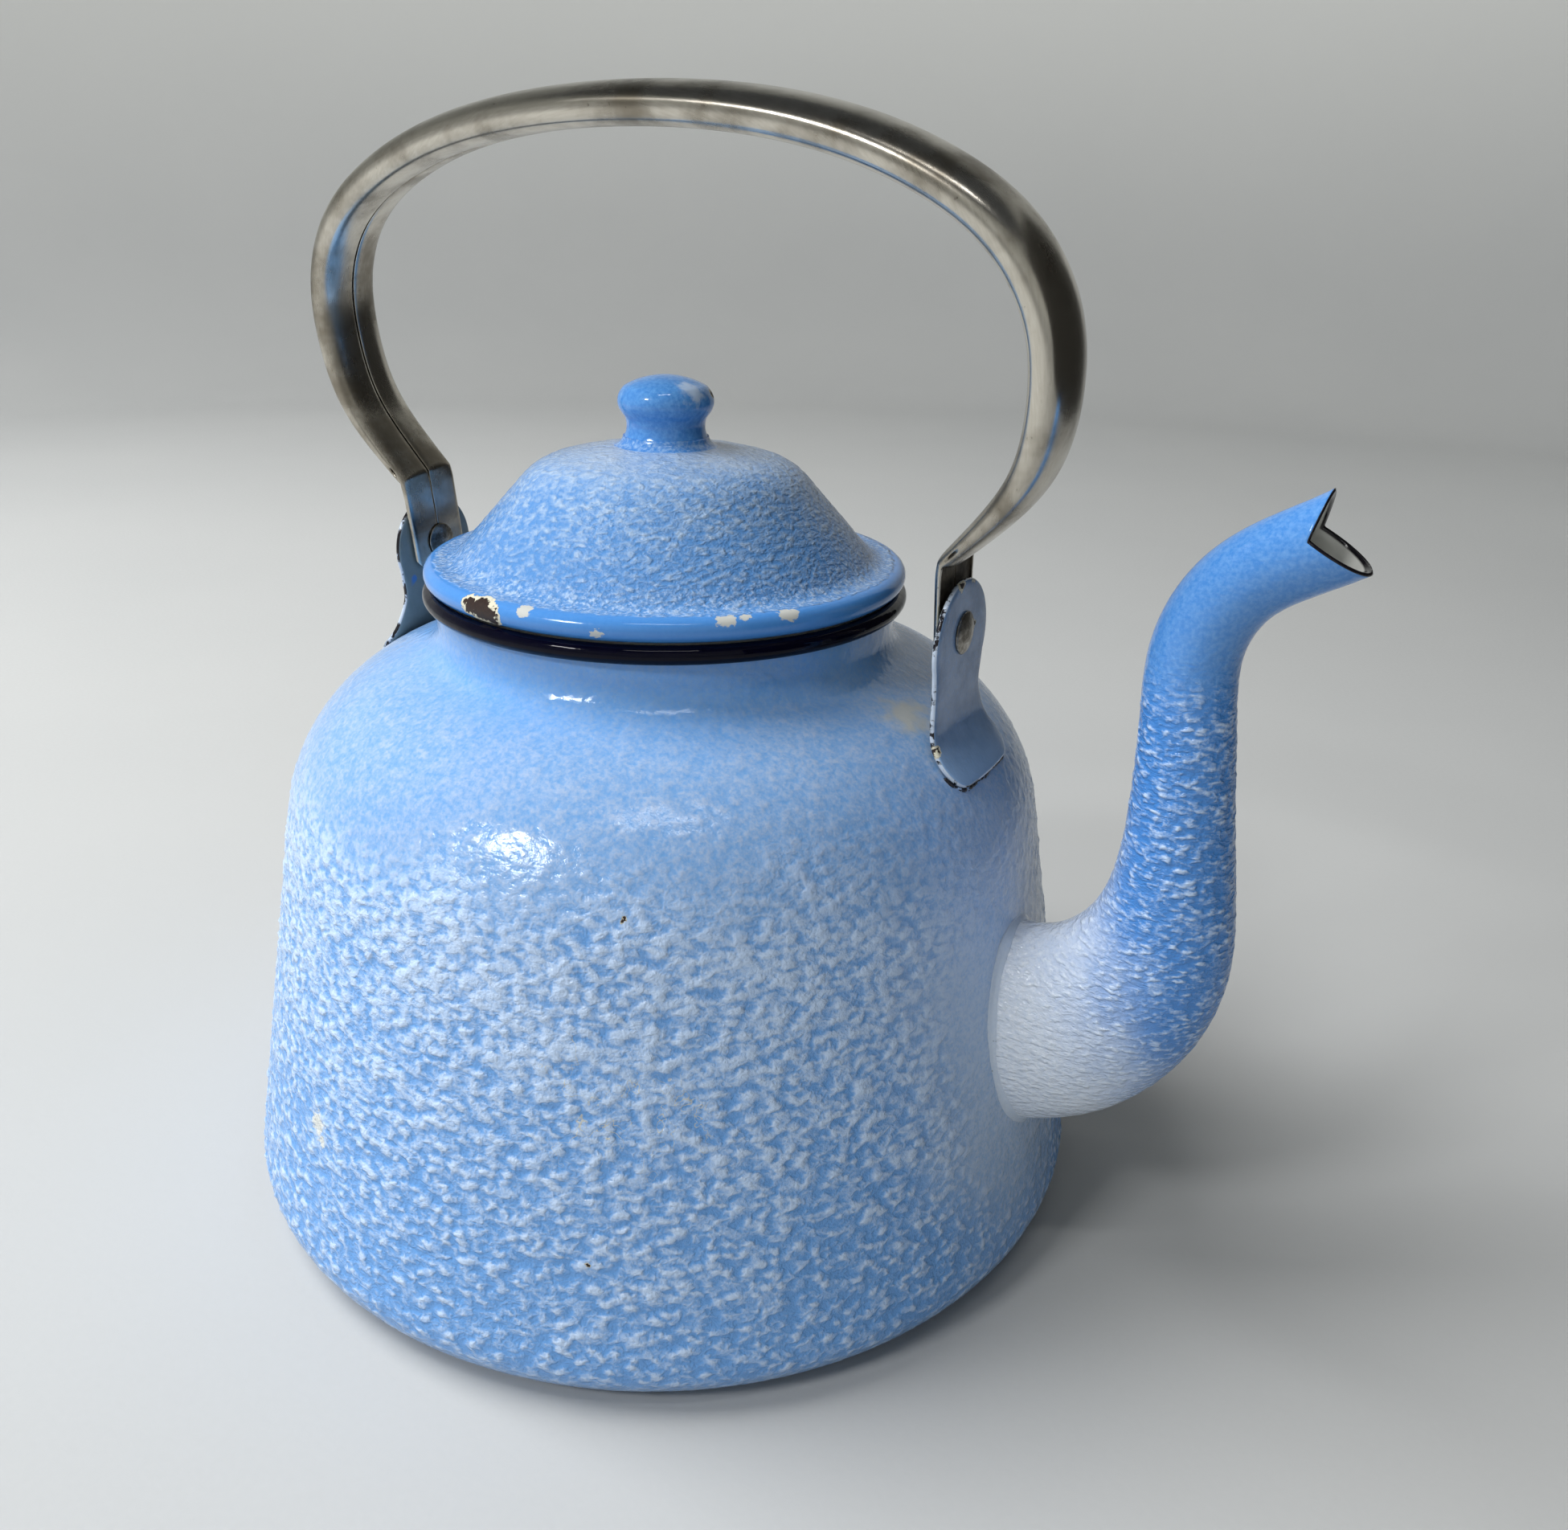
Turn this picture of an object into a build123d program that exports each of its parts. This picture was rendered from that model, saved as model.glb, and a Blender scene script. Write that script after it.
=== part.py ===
from build123d import *
import os
from math import atan2, cos, degrees, radians, sin, tan

os.makedirs("parts", exist_ok=True)

# Enamelled steel stovetop kettle, in millimetres. The origin is the centre of the flat base,
# +Z is up the axis of the body and +X points along the spout.

# ---- driving dimensions: body
WALL = 1.2                # enamelled steel sheet of the body
BASE_FLAT_R = 95.0        # flat part of the base
BASE_CORNER_R = 11.4      # rounded corner between base and side
SIDE_LEAN = 10.2          # degrees the side leans in on its way up
SIDE_TOP_Z = 99.9
SHOULDER_R = 42.3         # radius of the shoulder's arc
SHOULDER_END = 66.0       # degrees of tilt where the shoulder's arc ends
NECK_OUTER_R = 53.6
NECK_BLEND_R = 7.0        # hollow corner between shoulder and neck
BASE_SEAM_Z = 14.0        # where the base dish is welded to the side

# ---- driving dimensions: rolled rim of the neck
BEAD_R = 2.0
BEAD_Z = 147.9
BEAD_END = -110.0         # degrees at which the rolled sheet stops, near the neck

# ---- driving dimensions: lid
LID_WALL = 1.1
LID_CROWN_Z = 181.2
LID_CROWN_R = 100.0       # shallow arc over the top of the lid
LID_CROWN_EDGE = 25.0
LID_SHOULDER_R = 16.0
LID_SLOPE = 48.0          # degrees of the lid's straight flank
LID_BLEND_R = 5.0         # hollow corner between flank and flange
LID_RIM_CENTRE_R = 53.3
LID_RIM_Z = 152.8
LID_RIM_R = 2.6
LID_RIM_END = -130.0
COLLAR_OUTER_R = 51.6
COLLAR_WALL = 1.0
COLLAR_BOTTOM_Z = 140.5
KNOB_FOOT_R = 9.8
KNOB_FOOT_Z = 180.2       # just inside the lid's crown
KNOB_FOOT_HIGH = 1.6
KNOB_WAIST_R = 8.9
KNOB_WAIST_HIGH = 5.0
KNOB_SHOULDER_R = 9.3     # where waist and head meet, below and above the widest part
KNOB_HEAD_R = 10.9
KNOB_HEAD_HIGH = 6.6
KNOB_TOP_Z = 195.8
KNOB_WALL = 1.0
KNOB_WELD = 2.4
VENT_R = 3.0              # hole that lets the hollow knob breathe into the lid

# ---- driving dimensions: spout, as centre x, centre z, half height, half width
SPOUT_WALL = 1.1
SPOUT_STATIONS = [
    (84.0, 59.3, 25.2, 15.9),
    (104.6, 64.9, 23.1, 15.2),
    (116.5, 74.7, 19.8, 14.2),
    (123.2, 87.5, 16.4, 12.8),
    (125.3, 102.5, 12.7, 11.2),
    (124.5, 121.7, 10.2, 9.8),
    (123.0, 139.4, 9.1, 8.9),
    (122.7, 155.5, 8.6, 8.4),
    (128.5, 167.7, 8.3, 8.1),
    (143.0, 177.9, 8.3, 8.1),
    (154.0, 185.6, 8.4, 8.2),
]
MOUTH_NOTCH = (139.5, 178.4)    # bottom of the V cut in each side of the mouth
MOUTH_TOP = (141.2, 186.3)      # end of the upper lip
MOUTH_TIP = (150.0, 172.6)      # end of the lower lip
SPOUT_WELD_WIDE = 1.5
SPOUT_WELD_HIGH = 1.2

# ---- driving dimensions: handle ears on the shoulder
LUG_INNER_X = 74.0
LUG_THICK = 1.4
LUG_LOBE_R = 13.2
LUG_LOBE_Z = 147.4
LUG_WAIST_HALF = 12.0
LUG_WAIST_Z = 135.5
LUG_FOOT_NARROW = 13.2    # the foot's reach to one side
LUG_FOOT_WIDE = 17.2      # and to the other, where it spreads
LUG_FOOT_Z = 118.4
LUG_FOOT_CORNER = 5.0
LUG_BEND_Z = 127.0        # the ear leaves the shoulder just below this height
LUG_WELD = 1.2            # bead of filler, outwards
LUG_WELD_TURN = 2.2       # degrees of the shoulder that the filler covers

# ---- driving dimensions: pivots
PIVOT_Z = 149.2
RIVET_R = 2.4
RIVET_HEAD_R = 4.6
RIVET_HEAD_HIGH = 1.2
RIVET_TAIL_R = 4.3
RIVET_TAIL_HIGH = 1.0
RIVET_TAIL_GAP = 0.2
RIVET_RIM_SHARE = 0.35    # part of a head's height that is its upright rim
RUNNING_GAP = 0.05        # radial play of the handle on its rivets

# ---- driving dimensions: handle, drawn upright in the XZ plane
HANDLE_LEAN = 7.4         # degrees the handle leans towards -Y where it stands
HANDLE_WIDE = 17.7
HANDLE_THICK = 8.3
HANDLE_SHEET = 0.9
# half of the centreline as x, z and full thickness, from the bend above the pivot to the crown
HANDLE_STATIONS = [
    (73.4, 166.3, 4.0),
    (80.6, 173.7, 5.6),
    (88.6, 184.6, 7.4),
    (91.9, 199.0, 8.3),
    (90.6, 213.0, 8.3),
    (82.5, 226.8, 8.3),
    (68.5, 236.6, 8.3),
    (51.5, 243.2, 8.3),
    (25.5, 248.1, 8.3),
]
HANDLE_CROWN_Z = 249.4
WEB_X = 72.0              # inner face of the handle's end plates
PLATE_DEPTH = 1.7         # end plate with its turned edges
PLATE_BOTTOM_Z = 143.0
PLATE_TOP_Z = 168.0

REACH = 100.0             # longer than anything that a cutting shape has to pass
THROUGH = 10.0            # longer than the thickness of any sheet with a hole


def at(r, z):
    """A point in the XZ half plane."""
    return Vector(r, 0, z)


def on_circle(centre, radius, angle):
    return at(centre[0] + radius * cos(radians(angle)), centre[1] + radius * sin(radians(angle)))


def arc(centre, radius, start, end):
    middle = (start + end) / 2
    return ThreePointArc(
        on_circle(centre, radius, start), on_circle(centre, radius, middle), on_circle(centre, radius, end)
    )


def dome(radius, rim_z, top_z):
    """An arc from a rim to the axis, up or down, level where it meets the axis."""
    rise = abs(top_z - rim_z)
    way = 1 if top_z > rim_z else -1
    bend = (radius**2 + rise**2) / (2 * rise)
    start = degrees(atan2(bend - rise, radius))
    return arc((0, top_z - way * bend), bend, way * start, way * 90)


def revolved(edges):
    return revolve(make_face(Wire(edges)), Axis.Z, 360)


def sheet(edges, thickness, side):
    """A revolved wall of even thickness, on one side of an open outline."""
    band = Wire(edges).offset_2d(thickness, side=side)
    return revolve(make_face(band), Axis.Z, 360)


# ---- body -----------------------------------------------------------------------------------
CORNER = (BASE_FLAT_R, BASE_CORNER_R)
_side_low = on_circle(CORNER, BASE_CORNER_R, SIDE_LEAN)
_side_top_r = _side_low.X - (SIDE_TOP_Z - _side_low.Z) * tan(radians(SIDE_LEAN))
SHOULDER = (
    _side_top_r - SHOULDER_R * cos(radians(SIDE_LEAN)),
    SIDE_TOP_Z - SHOULDER_R * sin(radians(SIDE_LEAN)),
)


def neck_blend_centre():
    """Centre of the hollow corner that touches both the shoulder's cone and the neck."""
    end = on_circle(SHOULDER, SHOULDER_R, SHOULDER_END)
    tilt = radians(SHOULDER_END)
    centre_r = NECK_OUTER_R + NECK_BLEND_R
    run = (end.X + NECK_BLEND_R * cos(tilt) - centre_r) / sin(tilt)
    return centre_r, end.Z + run * cos(tilt) + NECK_BLEND_R * sin(tilt)


def body_outline(inset=0.0):
    """The outer skin from the middle of the base to the top of the neck, moved in by inset."""
    blend = neck_blend_centre()
    corner_r = BASE_CORNER_R - inset
    shoulder_r = SHOULDER_R - inset
    blend_r = NECK_BLEND_R + inset
    return [
        Line(at(0, inset), at(BASE_FLAT_R, inset)),
        arc(CORNER, corner_r, -90, SIDE_LEAN),
        Line(on_circle(CORNER, corner_r, SIDE_LEAN), on_circle(SHOULDER, shoulder_r, SIDE_LEAN)),
        arc(SHOULDER, shoulder_r, SIDE_LEAN, SHOULDER_END),
        Line(
            on_circle(SHOULDER, shoulder_r, SHOULDER_END),
            on_circle(blend, blend_r, 180 + SHOULDER_END),
        ),
        arc(blend, blend_r, 180 + SHOULDER_END, 180),
        Line(at(NECK_OUTER_R - inset, blend[1]), at(NECK_OUTER_R - inset, BEAD_Z)),
    ]


def body_solid(inset=0.0):
    """Everything inside the skin, used to trim what is welded on."""
    top = [Line(at(NECK_OUTER_R - inset, BEAD_Z), at(0, BEAD_Z)), Line(at(0, BEAD_Z), at(0, inset))]
    return revolved(body_outline(inset) + top)


def pressed_body():
    return body_solid() - body_solid(WALL)


def neck_bead():
    """Sheet of the neck rolled outwards over its top."""
    centre = (NECK_OUTER_R - WALL + BEAD_R, BEAD_Z)
    outer = arc(centre, BEAD_R, 180, BEAD_END)
    inner_r = BEAD_R - WALL
    inner = arc(centre, inner_r, BEAD_END, 180)
    return revolved([
        outer,
        Line(on_circle(centre, BEAD_R, BEAD_END), on_circle(centre, inner_r, BEAD_END)),
        inner,
        Line(on_circle(centre, inner_r, 180), on_circle(centre, BEAD_R, 180)),
    ])


# ---- spout ----------------------------------------------------------------------------------
def tube_loft(stations, inset):
    """A solid through oval sections that stand square to a smooth line in the XZ plane."""
    line = Spline([at(x, z) for x, z, _, _ in stations])
    ovals = []
    for x, z, half_high, half_wide in stations:
        along = line.tangent_at(line.param_at_point(at(x, z)))
        place = Plane(origin=at(x, z), x_dir=(0, 1, 0), z_dir=along)
        ovals.append(place * Ellipse(half_wide - inset, half_high - inset))
    return loft(ovals)


def mouth_cutter():
    """The V that opens both sides of the mouth into an upper and a lower lip."""
    notch = at(*MOUTH_NOTCH)
    upper = notch + (at(*MOUTH_TOP) - notch).normalized() * REACH
    lower = notch + (at(*MOUTH_TIP) - notch).normalized() * REACH
    ahead = upper + lower - notch
    face = make_face(Polyline(notch, upper, ahead, lower, close=True))
    return extrude(face, REACH, dir=(0, 1, 0), both=True)


def spout_tube():
    tube = tube_loft(SPOUT_STATIONS, 0) - tube_loft(SPOUT_STATIONS, SPOUT_WALL)
    return tube - body_solid() - mouth_cutter()


def spout_bore():
    """The hole through the body's side under the spout."""
    return tube_loft(SPOUT_STATIONS, SPOUT_WALL)


def spout_weld():
    """A low ring of filler on the body, around the foot of the spout."""
    layer = body_solid(-SPOUT_WELD_HIGH) - body_solid()
    return (layer & tube_loft(SPOUT_STATIONS, -SPOUT_WELD_WIDE)) - tube_loft(SPOUT_STATIONS, 0)


# ---- handle ears ----------------------------------------------------------------------------
def lug_flank(foot_half):
    """One side edge of the ear, from its round head to the corner of its foot."""
    join_drop = LUG_LOBE_R / 3
    join_half = (LUG_LOBE_R**2 - join_drop**2) ** 0.5
    join = (join_half, LUG_LOBE_Z - join_drop)
    foot = (foot_half, LUG_FOOT_Z + LUG_FOOT_CORNER)
    return Spline([join, (LUG_WAIST_HALF, LUG_WAIST_Z), foot], tangents=[(-0.3, -1), (0.1, -1)])


def lug_corner(foot_half):
    start = (foot_half, LUG_FOOT_Z + LUG_FOOT_CORNER)
    end = (foot_half - LUG_FOOT_CORNER, LUG_FOOT_Z)
    return TangentArc([end, start], tangent=(1, 0))


def lug_outline():
    """The ear seen along X: a round head, a waist and a foot that spreads to +Y."""
    wide = lug_flank(LUG_FOOT_WIDE)
    narrow = mirror(lug_flank(LUG_FOOT_NARROW), about=Plane.YZ)
    wide_corner = lug_corner(LUG_FOOT_WIDE)
    narrow_corner = mirror(lug_corner(LUG_FOOT_NARROW), about=Plane.YZ)
    bottom_start = (LUG_FOOT_WIDE - LUG_FOOT_CORNER, LUG_FOOT_Z)
    bottom_end = (LUG_FOOT_CORNER - LUG_FOOT_NARROW, LUG_FOOT_Z)
    bottom = Line(bottom_start, bottom_end)
    top = Line(wide @ 0, narrow @ 0)
    head = Pos(0, LUG_LOBE_Z) * Circle(LUG_LOBE_R)
    return head + make_face([top, wide, wide_corner, bottom, narrow_corner, narrow])


def front_lug():
    """The ear on the spout side: its foot follows the shoulder and its head stands upright."""
    prism = extrude(Plane.YZ * lug_outline(), REACH)
    above = Pos(LUG_INNER_X, 0, LUG_FOOT_Z) * Box(
        LUG_THICK, REACH, REACH, align=(Align.MIN, Align.CENTER, Align.MIN)
    )
    outside = Pos(LUG_INNER_X, 0, LUG_BEND_Z) * Box(
        REACH, REACH, REACH, align=(Align.MIN, Align.CENTER, Align.MAX)
    )
    layer = body_solid(-LUG_THICK) - body_solid()
    ear = (above - body_solid()) + (layer & outside)
    bore = Pos(LUG_INNER_X, 0, PIVOT_Z) * Rot(0, 90, 0) * Cylinder(RIVET_R, THROUGH)
    return (ear & prism) - bore


def front_lug_weld():
    """A thin bead of filler along the foot's lower edge."""
    sine = (LUG_FOOT_Z - SHOULDER[1]) / SHOULDER_R
    foot_tilt = degrees(atan2(sine, (1 - sine * sine) ** 0.5))
    low_tilt = foot_tilt - LUG_WELD_TURN
    top = on_circle(SHOULDER, SHOULDER_R, foot_tilt)
    edge = at(top.X + LUG_WELD, top.Z)
    section = [
        arc(SHOULDER, SHOULDER_R, low_tilt, foot_tilt),
        Line(top, edge),
        Line(edge, on_circle(SHOULDER, SHOULDER_R, low_tilt)),
    ]
    start = degrees(atan2(LUG_FOOT_CORNER - LUG_FOOT_NARROW, top.X))
    end = degrees(atan2(LUG_FOOT_WIDE - LUG_FOOT_CORNER, top.X))
    return Rot(0, 0, start) * revolve(make_face(Wire(section)), Axis.Z, end - start)


def front_rivet():
    """Solid rivet through the ear and the handle's end plate, with a head formed on each end."""
    outer_x = LUG_INNER_X + LUG_THICK
    tail_x = WEB_X - RIVET_TAIL_GAP
    head_rim = outer_x + RIVET_HEAD_HIGH * RIVET_RIM_SHARE
    tail_rim = tail_x - RIVET_TAIL_HIGH * RIVET_RIM_SHARE
    profile = [
        dome(RIVET_HEAD_R, head_rim, outer_x + RIVET_HEAD_HIGH),
        Line(at(RIVET_HEAD_R, head_rim), at(RIVET_HEAD_R, outer_x)),
        Line(at(RIVET_HEAD_R, outer_x), at(RIVET_R, outer_x)),
        Line(at(RIVET_R, outer_x), at(RIVET_R, tail_x)),
        Line(at(RIVET_R, tail_x), at(RIVET_TAIL_R, tail_x)),
        Line(at(RIVET_TAIL_R, tail_x), at(RIVET_TAIL_R, tail_rim)),
        dome(RIVET_TAIL_R, tail_rim, tail_x - RIVET_TAIL_HIGH),
        Line(at(0, tail_x - RIVET_TAIL_HIGH), at(0, outer_x + RIVET_HEAD_HIGH)),
    ]
    return Pos(0, 0, PIVOT_Z) * Rot(0, 90, 0) * revolved(profile)


# ---- handle ---------------------------------------------------------------------------------
def handle_line_points():
    right = [(x, z, thick) for x, z, thick in HANDLE_STATIONS]
    left = [(-x, z, thick) for x, z, thick in right]
    return left + [(0, HANDLE_CROWN_Z, HANDLE_THICK)] + right[::-1]


def handle_loft(inset):
    """The closed tube from bend to bend, oval in section and thinner towards its ends."""
    points = handle_line_points()
    line = Spline([at(x, z) for x, z, _ in points])
    ovals = []
    for x, z, thick in points:
        along = line.tangent_at(line.param_at_point(at(x, z)))
        place = Plane(origin=at(x, z), x_dir=(0, 1, 0), z_dir=along)
        ovals.append(place * Ellipse(HANDLE_WIDE / 2 - inset, thick / 2 - inset))
    return loft(ovals)


def end_plate():
    """Flat end of the handle: one sheet thick, with its long edges turned outwards."""
    height = PLATE_TOP_Z - PLATE_BOTTOM_Z
    middle_z = (PLATE_TOP_Z + PLATE_BOTTOM_Z) / 2
    block = Pos(WEB_X + PLATE_DEPTH / 2, 0, middle_z) * Box(PLATE_DEPTH, HANDLE_WIDE, height)
    block = fillet(block.edges().filter_by(Axis.Z).group_by(Axis.X)[0], HANDLE_SHEET)
    pocket_wide = HANDLE_WIDE - 2 * HANDLE_SHEET
    pocket = Pos(WEB_X + HANDLE_SHEET + PLATE_DEPTH / 2, 0, middle_z) * Box(PLATE_DEPTH, pocket_wide, height)
    bore = Pos(WEB_X, 0, PIVOT_Z) * Rot(0, 90, 0) * Cylinder(RIVET_R + RUNNING_GAP, THROUGH)
    return block - pocket - bore


def handle():
    tube = handle_loft(0)
    plate = end_plate()
    bail = tube + plate + mirror(plate, about=Plane.YZ) - handle_loft(HANDLE_SHEET)
    pivot = Axis((0, 0, PIVOT_Z), (1, 0, 0))
    return bail.rotate(pivot, HANDLE_LEAN)


# ---- lid ------------------------------------------------------------------------------------
def lid_outline():
    """Outer skin of the lid from its middle to the end of its rolled rim."""
    crown = (0, LID_CROWN_Z - LID_CROWN_R)
    crown_end = degrees(atan2((LID_CROWN_R**2 - LID_CROWN_EDGE**2) ** 0.5, LID_CROWN_EDGE))
    start = on_circle(crown, LID_CROWN_R, crown_end)
    shoulder = (
        start.X - LID_SHOULDER_R * cos(radians(crown_end)),
        start.Z - LID_SHOULDER_R * sin(radians(crown_end)),
    )
    flank_angle = 90 - LID_SLOPE
    flank_top = on_circle(shoulder, LID_SHOULDER_R, flank_angle)
    flange_z = LID_RIM_Z + LID_RIM_R
    meet_r = flank_top.X + (flank_top.Z - flange_z) / tan(radians(LID_SLOPE))
    blend = (meet_r + LID_BLEND_R * tan(radians(LID_SLOPE / 2)), flange_z + LID_BLEND_R)
    rim = (LID_RIM_CENTRE_R, LID_RIM_Z)
    return [
        arc(crown, LID_CROWN_R, 90, crown_end),
        arc(shoulder, LID_SHOULDER_R, crown_end, flank_angle),
        Line(flank_top, on_circle(blend, LID_BLEND_R, 180 + flank_angle)),
        arc(blend, LID_BLEND_R, 180 + flank_angle, 270),
        Line(at(blend[0], flange_z), at(LID_RIM_CENTRE_R, flange_z)),
        arc(rim, LID_RIM_R, 90, LID_RIM_END),
    ]


def lid_shell():
    shell = sheet(lid_outline(), LID_WALL, Side.RIGHT)
    return shell - Pos(0, 0, LID_CROWN_Z) * Cylinder(VENT_R, THROUGH)


def lid_collar(shell):
    """Ring under the lid that drops into the neck and keeps the lid in place."""
    top = LID_RIM_Z + LID_RIM_R - LID_WALL
    height = top - COLLAR_BOTTOM_Z
    ring = Cylinder(COLLAR_OUTER_R, height) - Cylinder(COLLAR_OUTER_R - COLLAR_WALL, height)
    return Pos(0, 0, COLLAR_BOTTOM_Z + height / 2) * ring - shell


def knob_outline():
    """Outer skin of the knob: a short upright foot, a waist and a round head."""
    upright = KNOB_FOOT_Z + KNOB_FOOT_HIGH
    waist_top = upright + KNOB_WAIST_HIGH
    head_top = waist_top + KNOB_HEAD_HIGH
    return [
        Line(at(KNOB_FOOT_R, KNOB_FOOT_Z), at(KNOB_FOOT_R, upright)),
        ThreePointArc(
            at(KNOB_FOOT_R, upright),
            at(KNOB_WAIST_R, upright + KNOB_WAIST_HIGH / 2),
            at(KNOB_SHOULDER_R, waist_top),
        ),
        ThreePointArc(
            at(KNOB_SHOULDER_R, waist_top),
            at(KNOB_HEAD_R, waist_top + KNOB_HEAD_HIGH / 2),
            at(KNOB_SHOULDER_R, head_top),
        ),
        dome(KNOB_SHOULDER_R, head_top, KNOB_TOP_Z),
    ]


def lid_knob(shell):
    """Hollow pressed knob, open at its foot."""
    return sheet(knob_outline(), KNOB_WALL, Side.LEFT) - shell


def knob_weld():
    """Fillet of filler between the lid's crown and the knob's foot."""
    crown = (0, LID_CROWN_Z - LID_CROWN_R)
    wide = KNOB_FOOT_R + KNOB_WELD
    outer = degrees(atan2((LID_CROWN_R**2 - wide**2) ** 0.5, wide))
    inner = degrees(atan2((LID_CROWN_R**2 - KNOB_FOOT_R**2) ** 0.5, KNOB_FOOT_R))
    high = at(KNOB_FOOT_R, KNOB_FOOT_Z + KNOB_FOOT_HIGH)
    return revolved([
        arc(crown, LID_CROWN_R, outer, inner),
        Line(on_circle(crown, LID_CROWN_R, inner), high),
        Line(high, on_circle(crown, LID_CROWN_R, outer)),
    ])


# ---- assembly -------------------------------------------------------------------------------
def build():
    nodes = {}
    pressed = pressed_body()
    seam = Plane.XY.offset(BASE_SEAM_Z)
    nodes["base_pan"] = split(pressed, bisect_by=seam, keep=Keep.BOTTOM)
    nodes["body_shell"] = split(pressed, bisect_by=seam, keep=Keep.TOP) - spout_bore()
    nodes["neck_bead"] = neck_bead()

    spout = spout_tube()
    nodes["spout_left_half"] = split(spout, bisect_by=Plane.XZ, keep=Keep.BOTTOM)
    nodes["spout_right_half"] = split(spout, bisect_by=Plane.XZ, keep=Keep.TOP)
    nodes["spout_weld"] = spout_weld()

    turn = Rot(0, 0, 180)
    nodes["front_lug"] = front_lug()
    nodes["rear_lug"] = turn * front_lug()
    nodes["front_lug_weld"] = front_lug_weld()
    nodes["rear_lug_weld"] = turn * front_lug_weld()
    nodes["pivot_rivets"] = Compound([front_rivet(), turn * front_rivet()])

    nodes["bail_handle"] = handle()

    shell = lid_shell()
    nodes["lid_shell"] = shell
    nodes["lid_collar"] = lid_collar(shell)
    nodes["lid_knob"] = lid_knob(shell)
    nodes["knob_weld"] = knob_weld()
    return nodes


for name, shape in build().items():
    export_step(shape, f"parts/{name}.step")
    print(name, round(shape.volume), len(shape.solids()))
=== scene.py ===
from math import acos, asin, atan2, cos, degrees, exp, pi, radians, sin, sqrt, tan

import bmesh
import bpy
import numpy as np
from mathutils import Matrix, Vector


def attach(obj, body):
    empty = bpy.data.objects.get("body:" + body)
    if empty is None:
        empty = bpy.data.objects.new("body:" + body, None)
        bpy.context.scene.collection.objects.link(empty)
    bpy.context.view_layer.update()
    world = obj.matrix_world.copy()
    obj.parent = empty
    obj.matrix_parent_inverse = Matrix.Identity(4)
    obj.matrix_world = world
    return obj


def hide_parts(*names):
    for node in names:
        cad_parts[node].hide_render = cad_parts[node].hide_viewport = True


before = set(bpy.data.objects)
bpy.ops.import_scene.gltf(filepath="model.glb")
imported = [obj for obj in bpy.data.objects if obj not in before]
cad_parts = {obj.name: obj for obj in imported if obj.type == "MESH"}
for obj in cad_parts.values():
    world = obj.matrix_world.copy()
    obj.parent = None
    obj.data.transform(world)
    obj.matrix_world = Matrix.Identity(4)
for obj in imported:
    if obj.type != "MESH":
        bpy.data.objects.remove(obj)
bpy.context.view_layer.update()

MM = 0.001
BODY_COLUMNS = 456
LID_COLUMNS = 420

# ---- sizes in millimetres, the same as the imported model's
WALL = 1.2
BASE_FLAT_R = 95.0
BASE_CORNER_R = 11.4
SIDE_LEAN = 10.2
SIDE_TOP_Z = 99.9
SHOULDER_R = 42.3
SHOULDER_END = 66.0
NECK_OUTER_R = 53.6
NECK_BLEND_R = 7.0
BEAD_R = 2.0
BEAD_Z = 147.9
BEAD_END = -110.0

LID_WALL = 1.1
LID_CROWN_Z = 181.2
LID_CROWN_R = 100.0
LID_CROWN_EDGE = 25.0
LID_SHOULDER_R = 16.0
LID_SLOPE = 48.0
LID_BLEND_R = 5.0
LID_RIM_CENTRE_R = 53.3
LID_RIM_Z = 152.8
LID_RIM_R = 2.6
LID_RIM_END = -130.0
COLLAR_OUTER_R = 51.6
COLLAR_WALL = 1.0
COLLAR_BOTTOM_Z = 140.5
KNOB_FOOT_R = 9.8
KNOB_FOOT_HIGH = 1.6
KNOB_WAIST_R = 8.9
KNOB_WAIST_HIGH = 5.0
KNOB_SHOULDER_R = 9.3
KNOB_HEAD_R = 10.9
KNOB_HEAD_HIGH = 6.6
KNOB_TOP_Z = 195.8
KNOB_WALL = 1.0
VENT_R = 3.0

SPOUT_WALL = 1.1
# centre x, centre z, half height, half width
SPOUT_STATIONS = np.array([
    (84.0, 59.3, 25.2, 15.9),
    (104.6, 64.9, 23.1, 15.2),
    (116.5, 74.7, 19.8, 14.2),
    (123.2, 87.5, 16.4, 12.8),
    (125.3, 102.5, 12.7, 11.2),
    (124.5, 121.7, 10.2, 9.8),
    (123.0, 139.4, 9.1, 8.9),
    (122.7, 155.5, 8.6, 8.4),
    (128.5, 167.7, 8.3, 8.1),
    (143.0, 177.9, 8.3, 8.1),
    (154.0, 185.6, 8.4, 8.2),
])
MOUTH_NOTCH = np.array([139.5, 178.4])
MOUTH_TOP = np.array([141.2, 186.3])
MOUTH_TIP = np.array([150.0, 172.6])

LUG_INNER_X = 74.0
LUG_THICK = 1.4
LUG_LOBE_R = 13.2
LUG_LOBE_Z = 147.4
LUG_WAIST_HALF = 12.0
LUG_WAIST_Z = 135.5
LUG_FOOT_NARROW = 13.2
LUG_FOOT_WIDE = 17.2
LUG_FOOT_Z = 118.4
LUG_FOOT_CORNER = 5.0

PIVOT_Z = 149.2
RIVET_R = 2.4
RIVET_HEAD_R = 4.6
RIVET_HEAD_HIGH = 1.2
RIVET_TAIL_HIGH = 1.0
RIVET_TAIL_GAP = 0.2
WEB_X = 72.0

HANDLE_LEAN = 7.4
HANDLE_WIDE = 17.7
HANDLE_SHEET = 0.9
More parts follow.
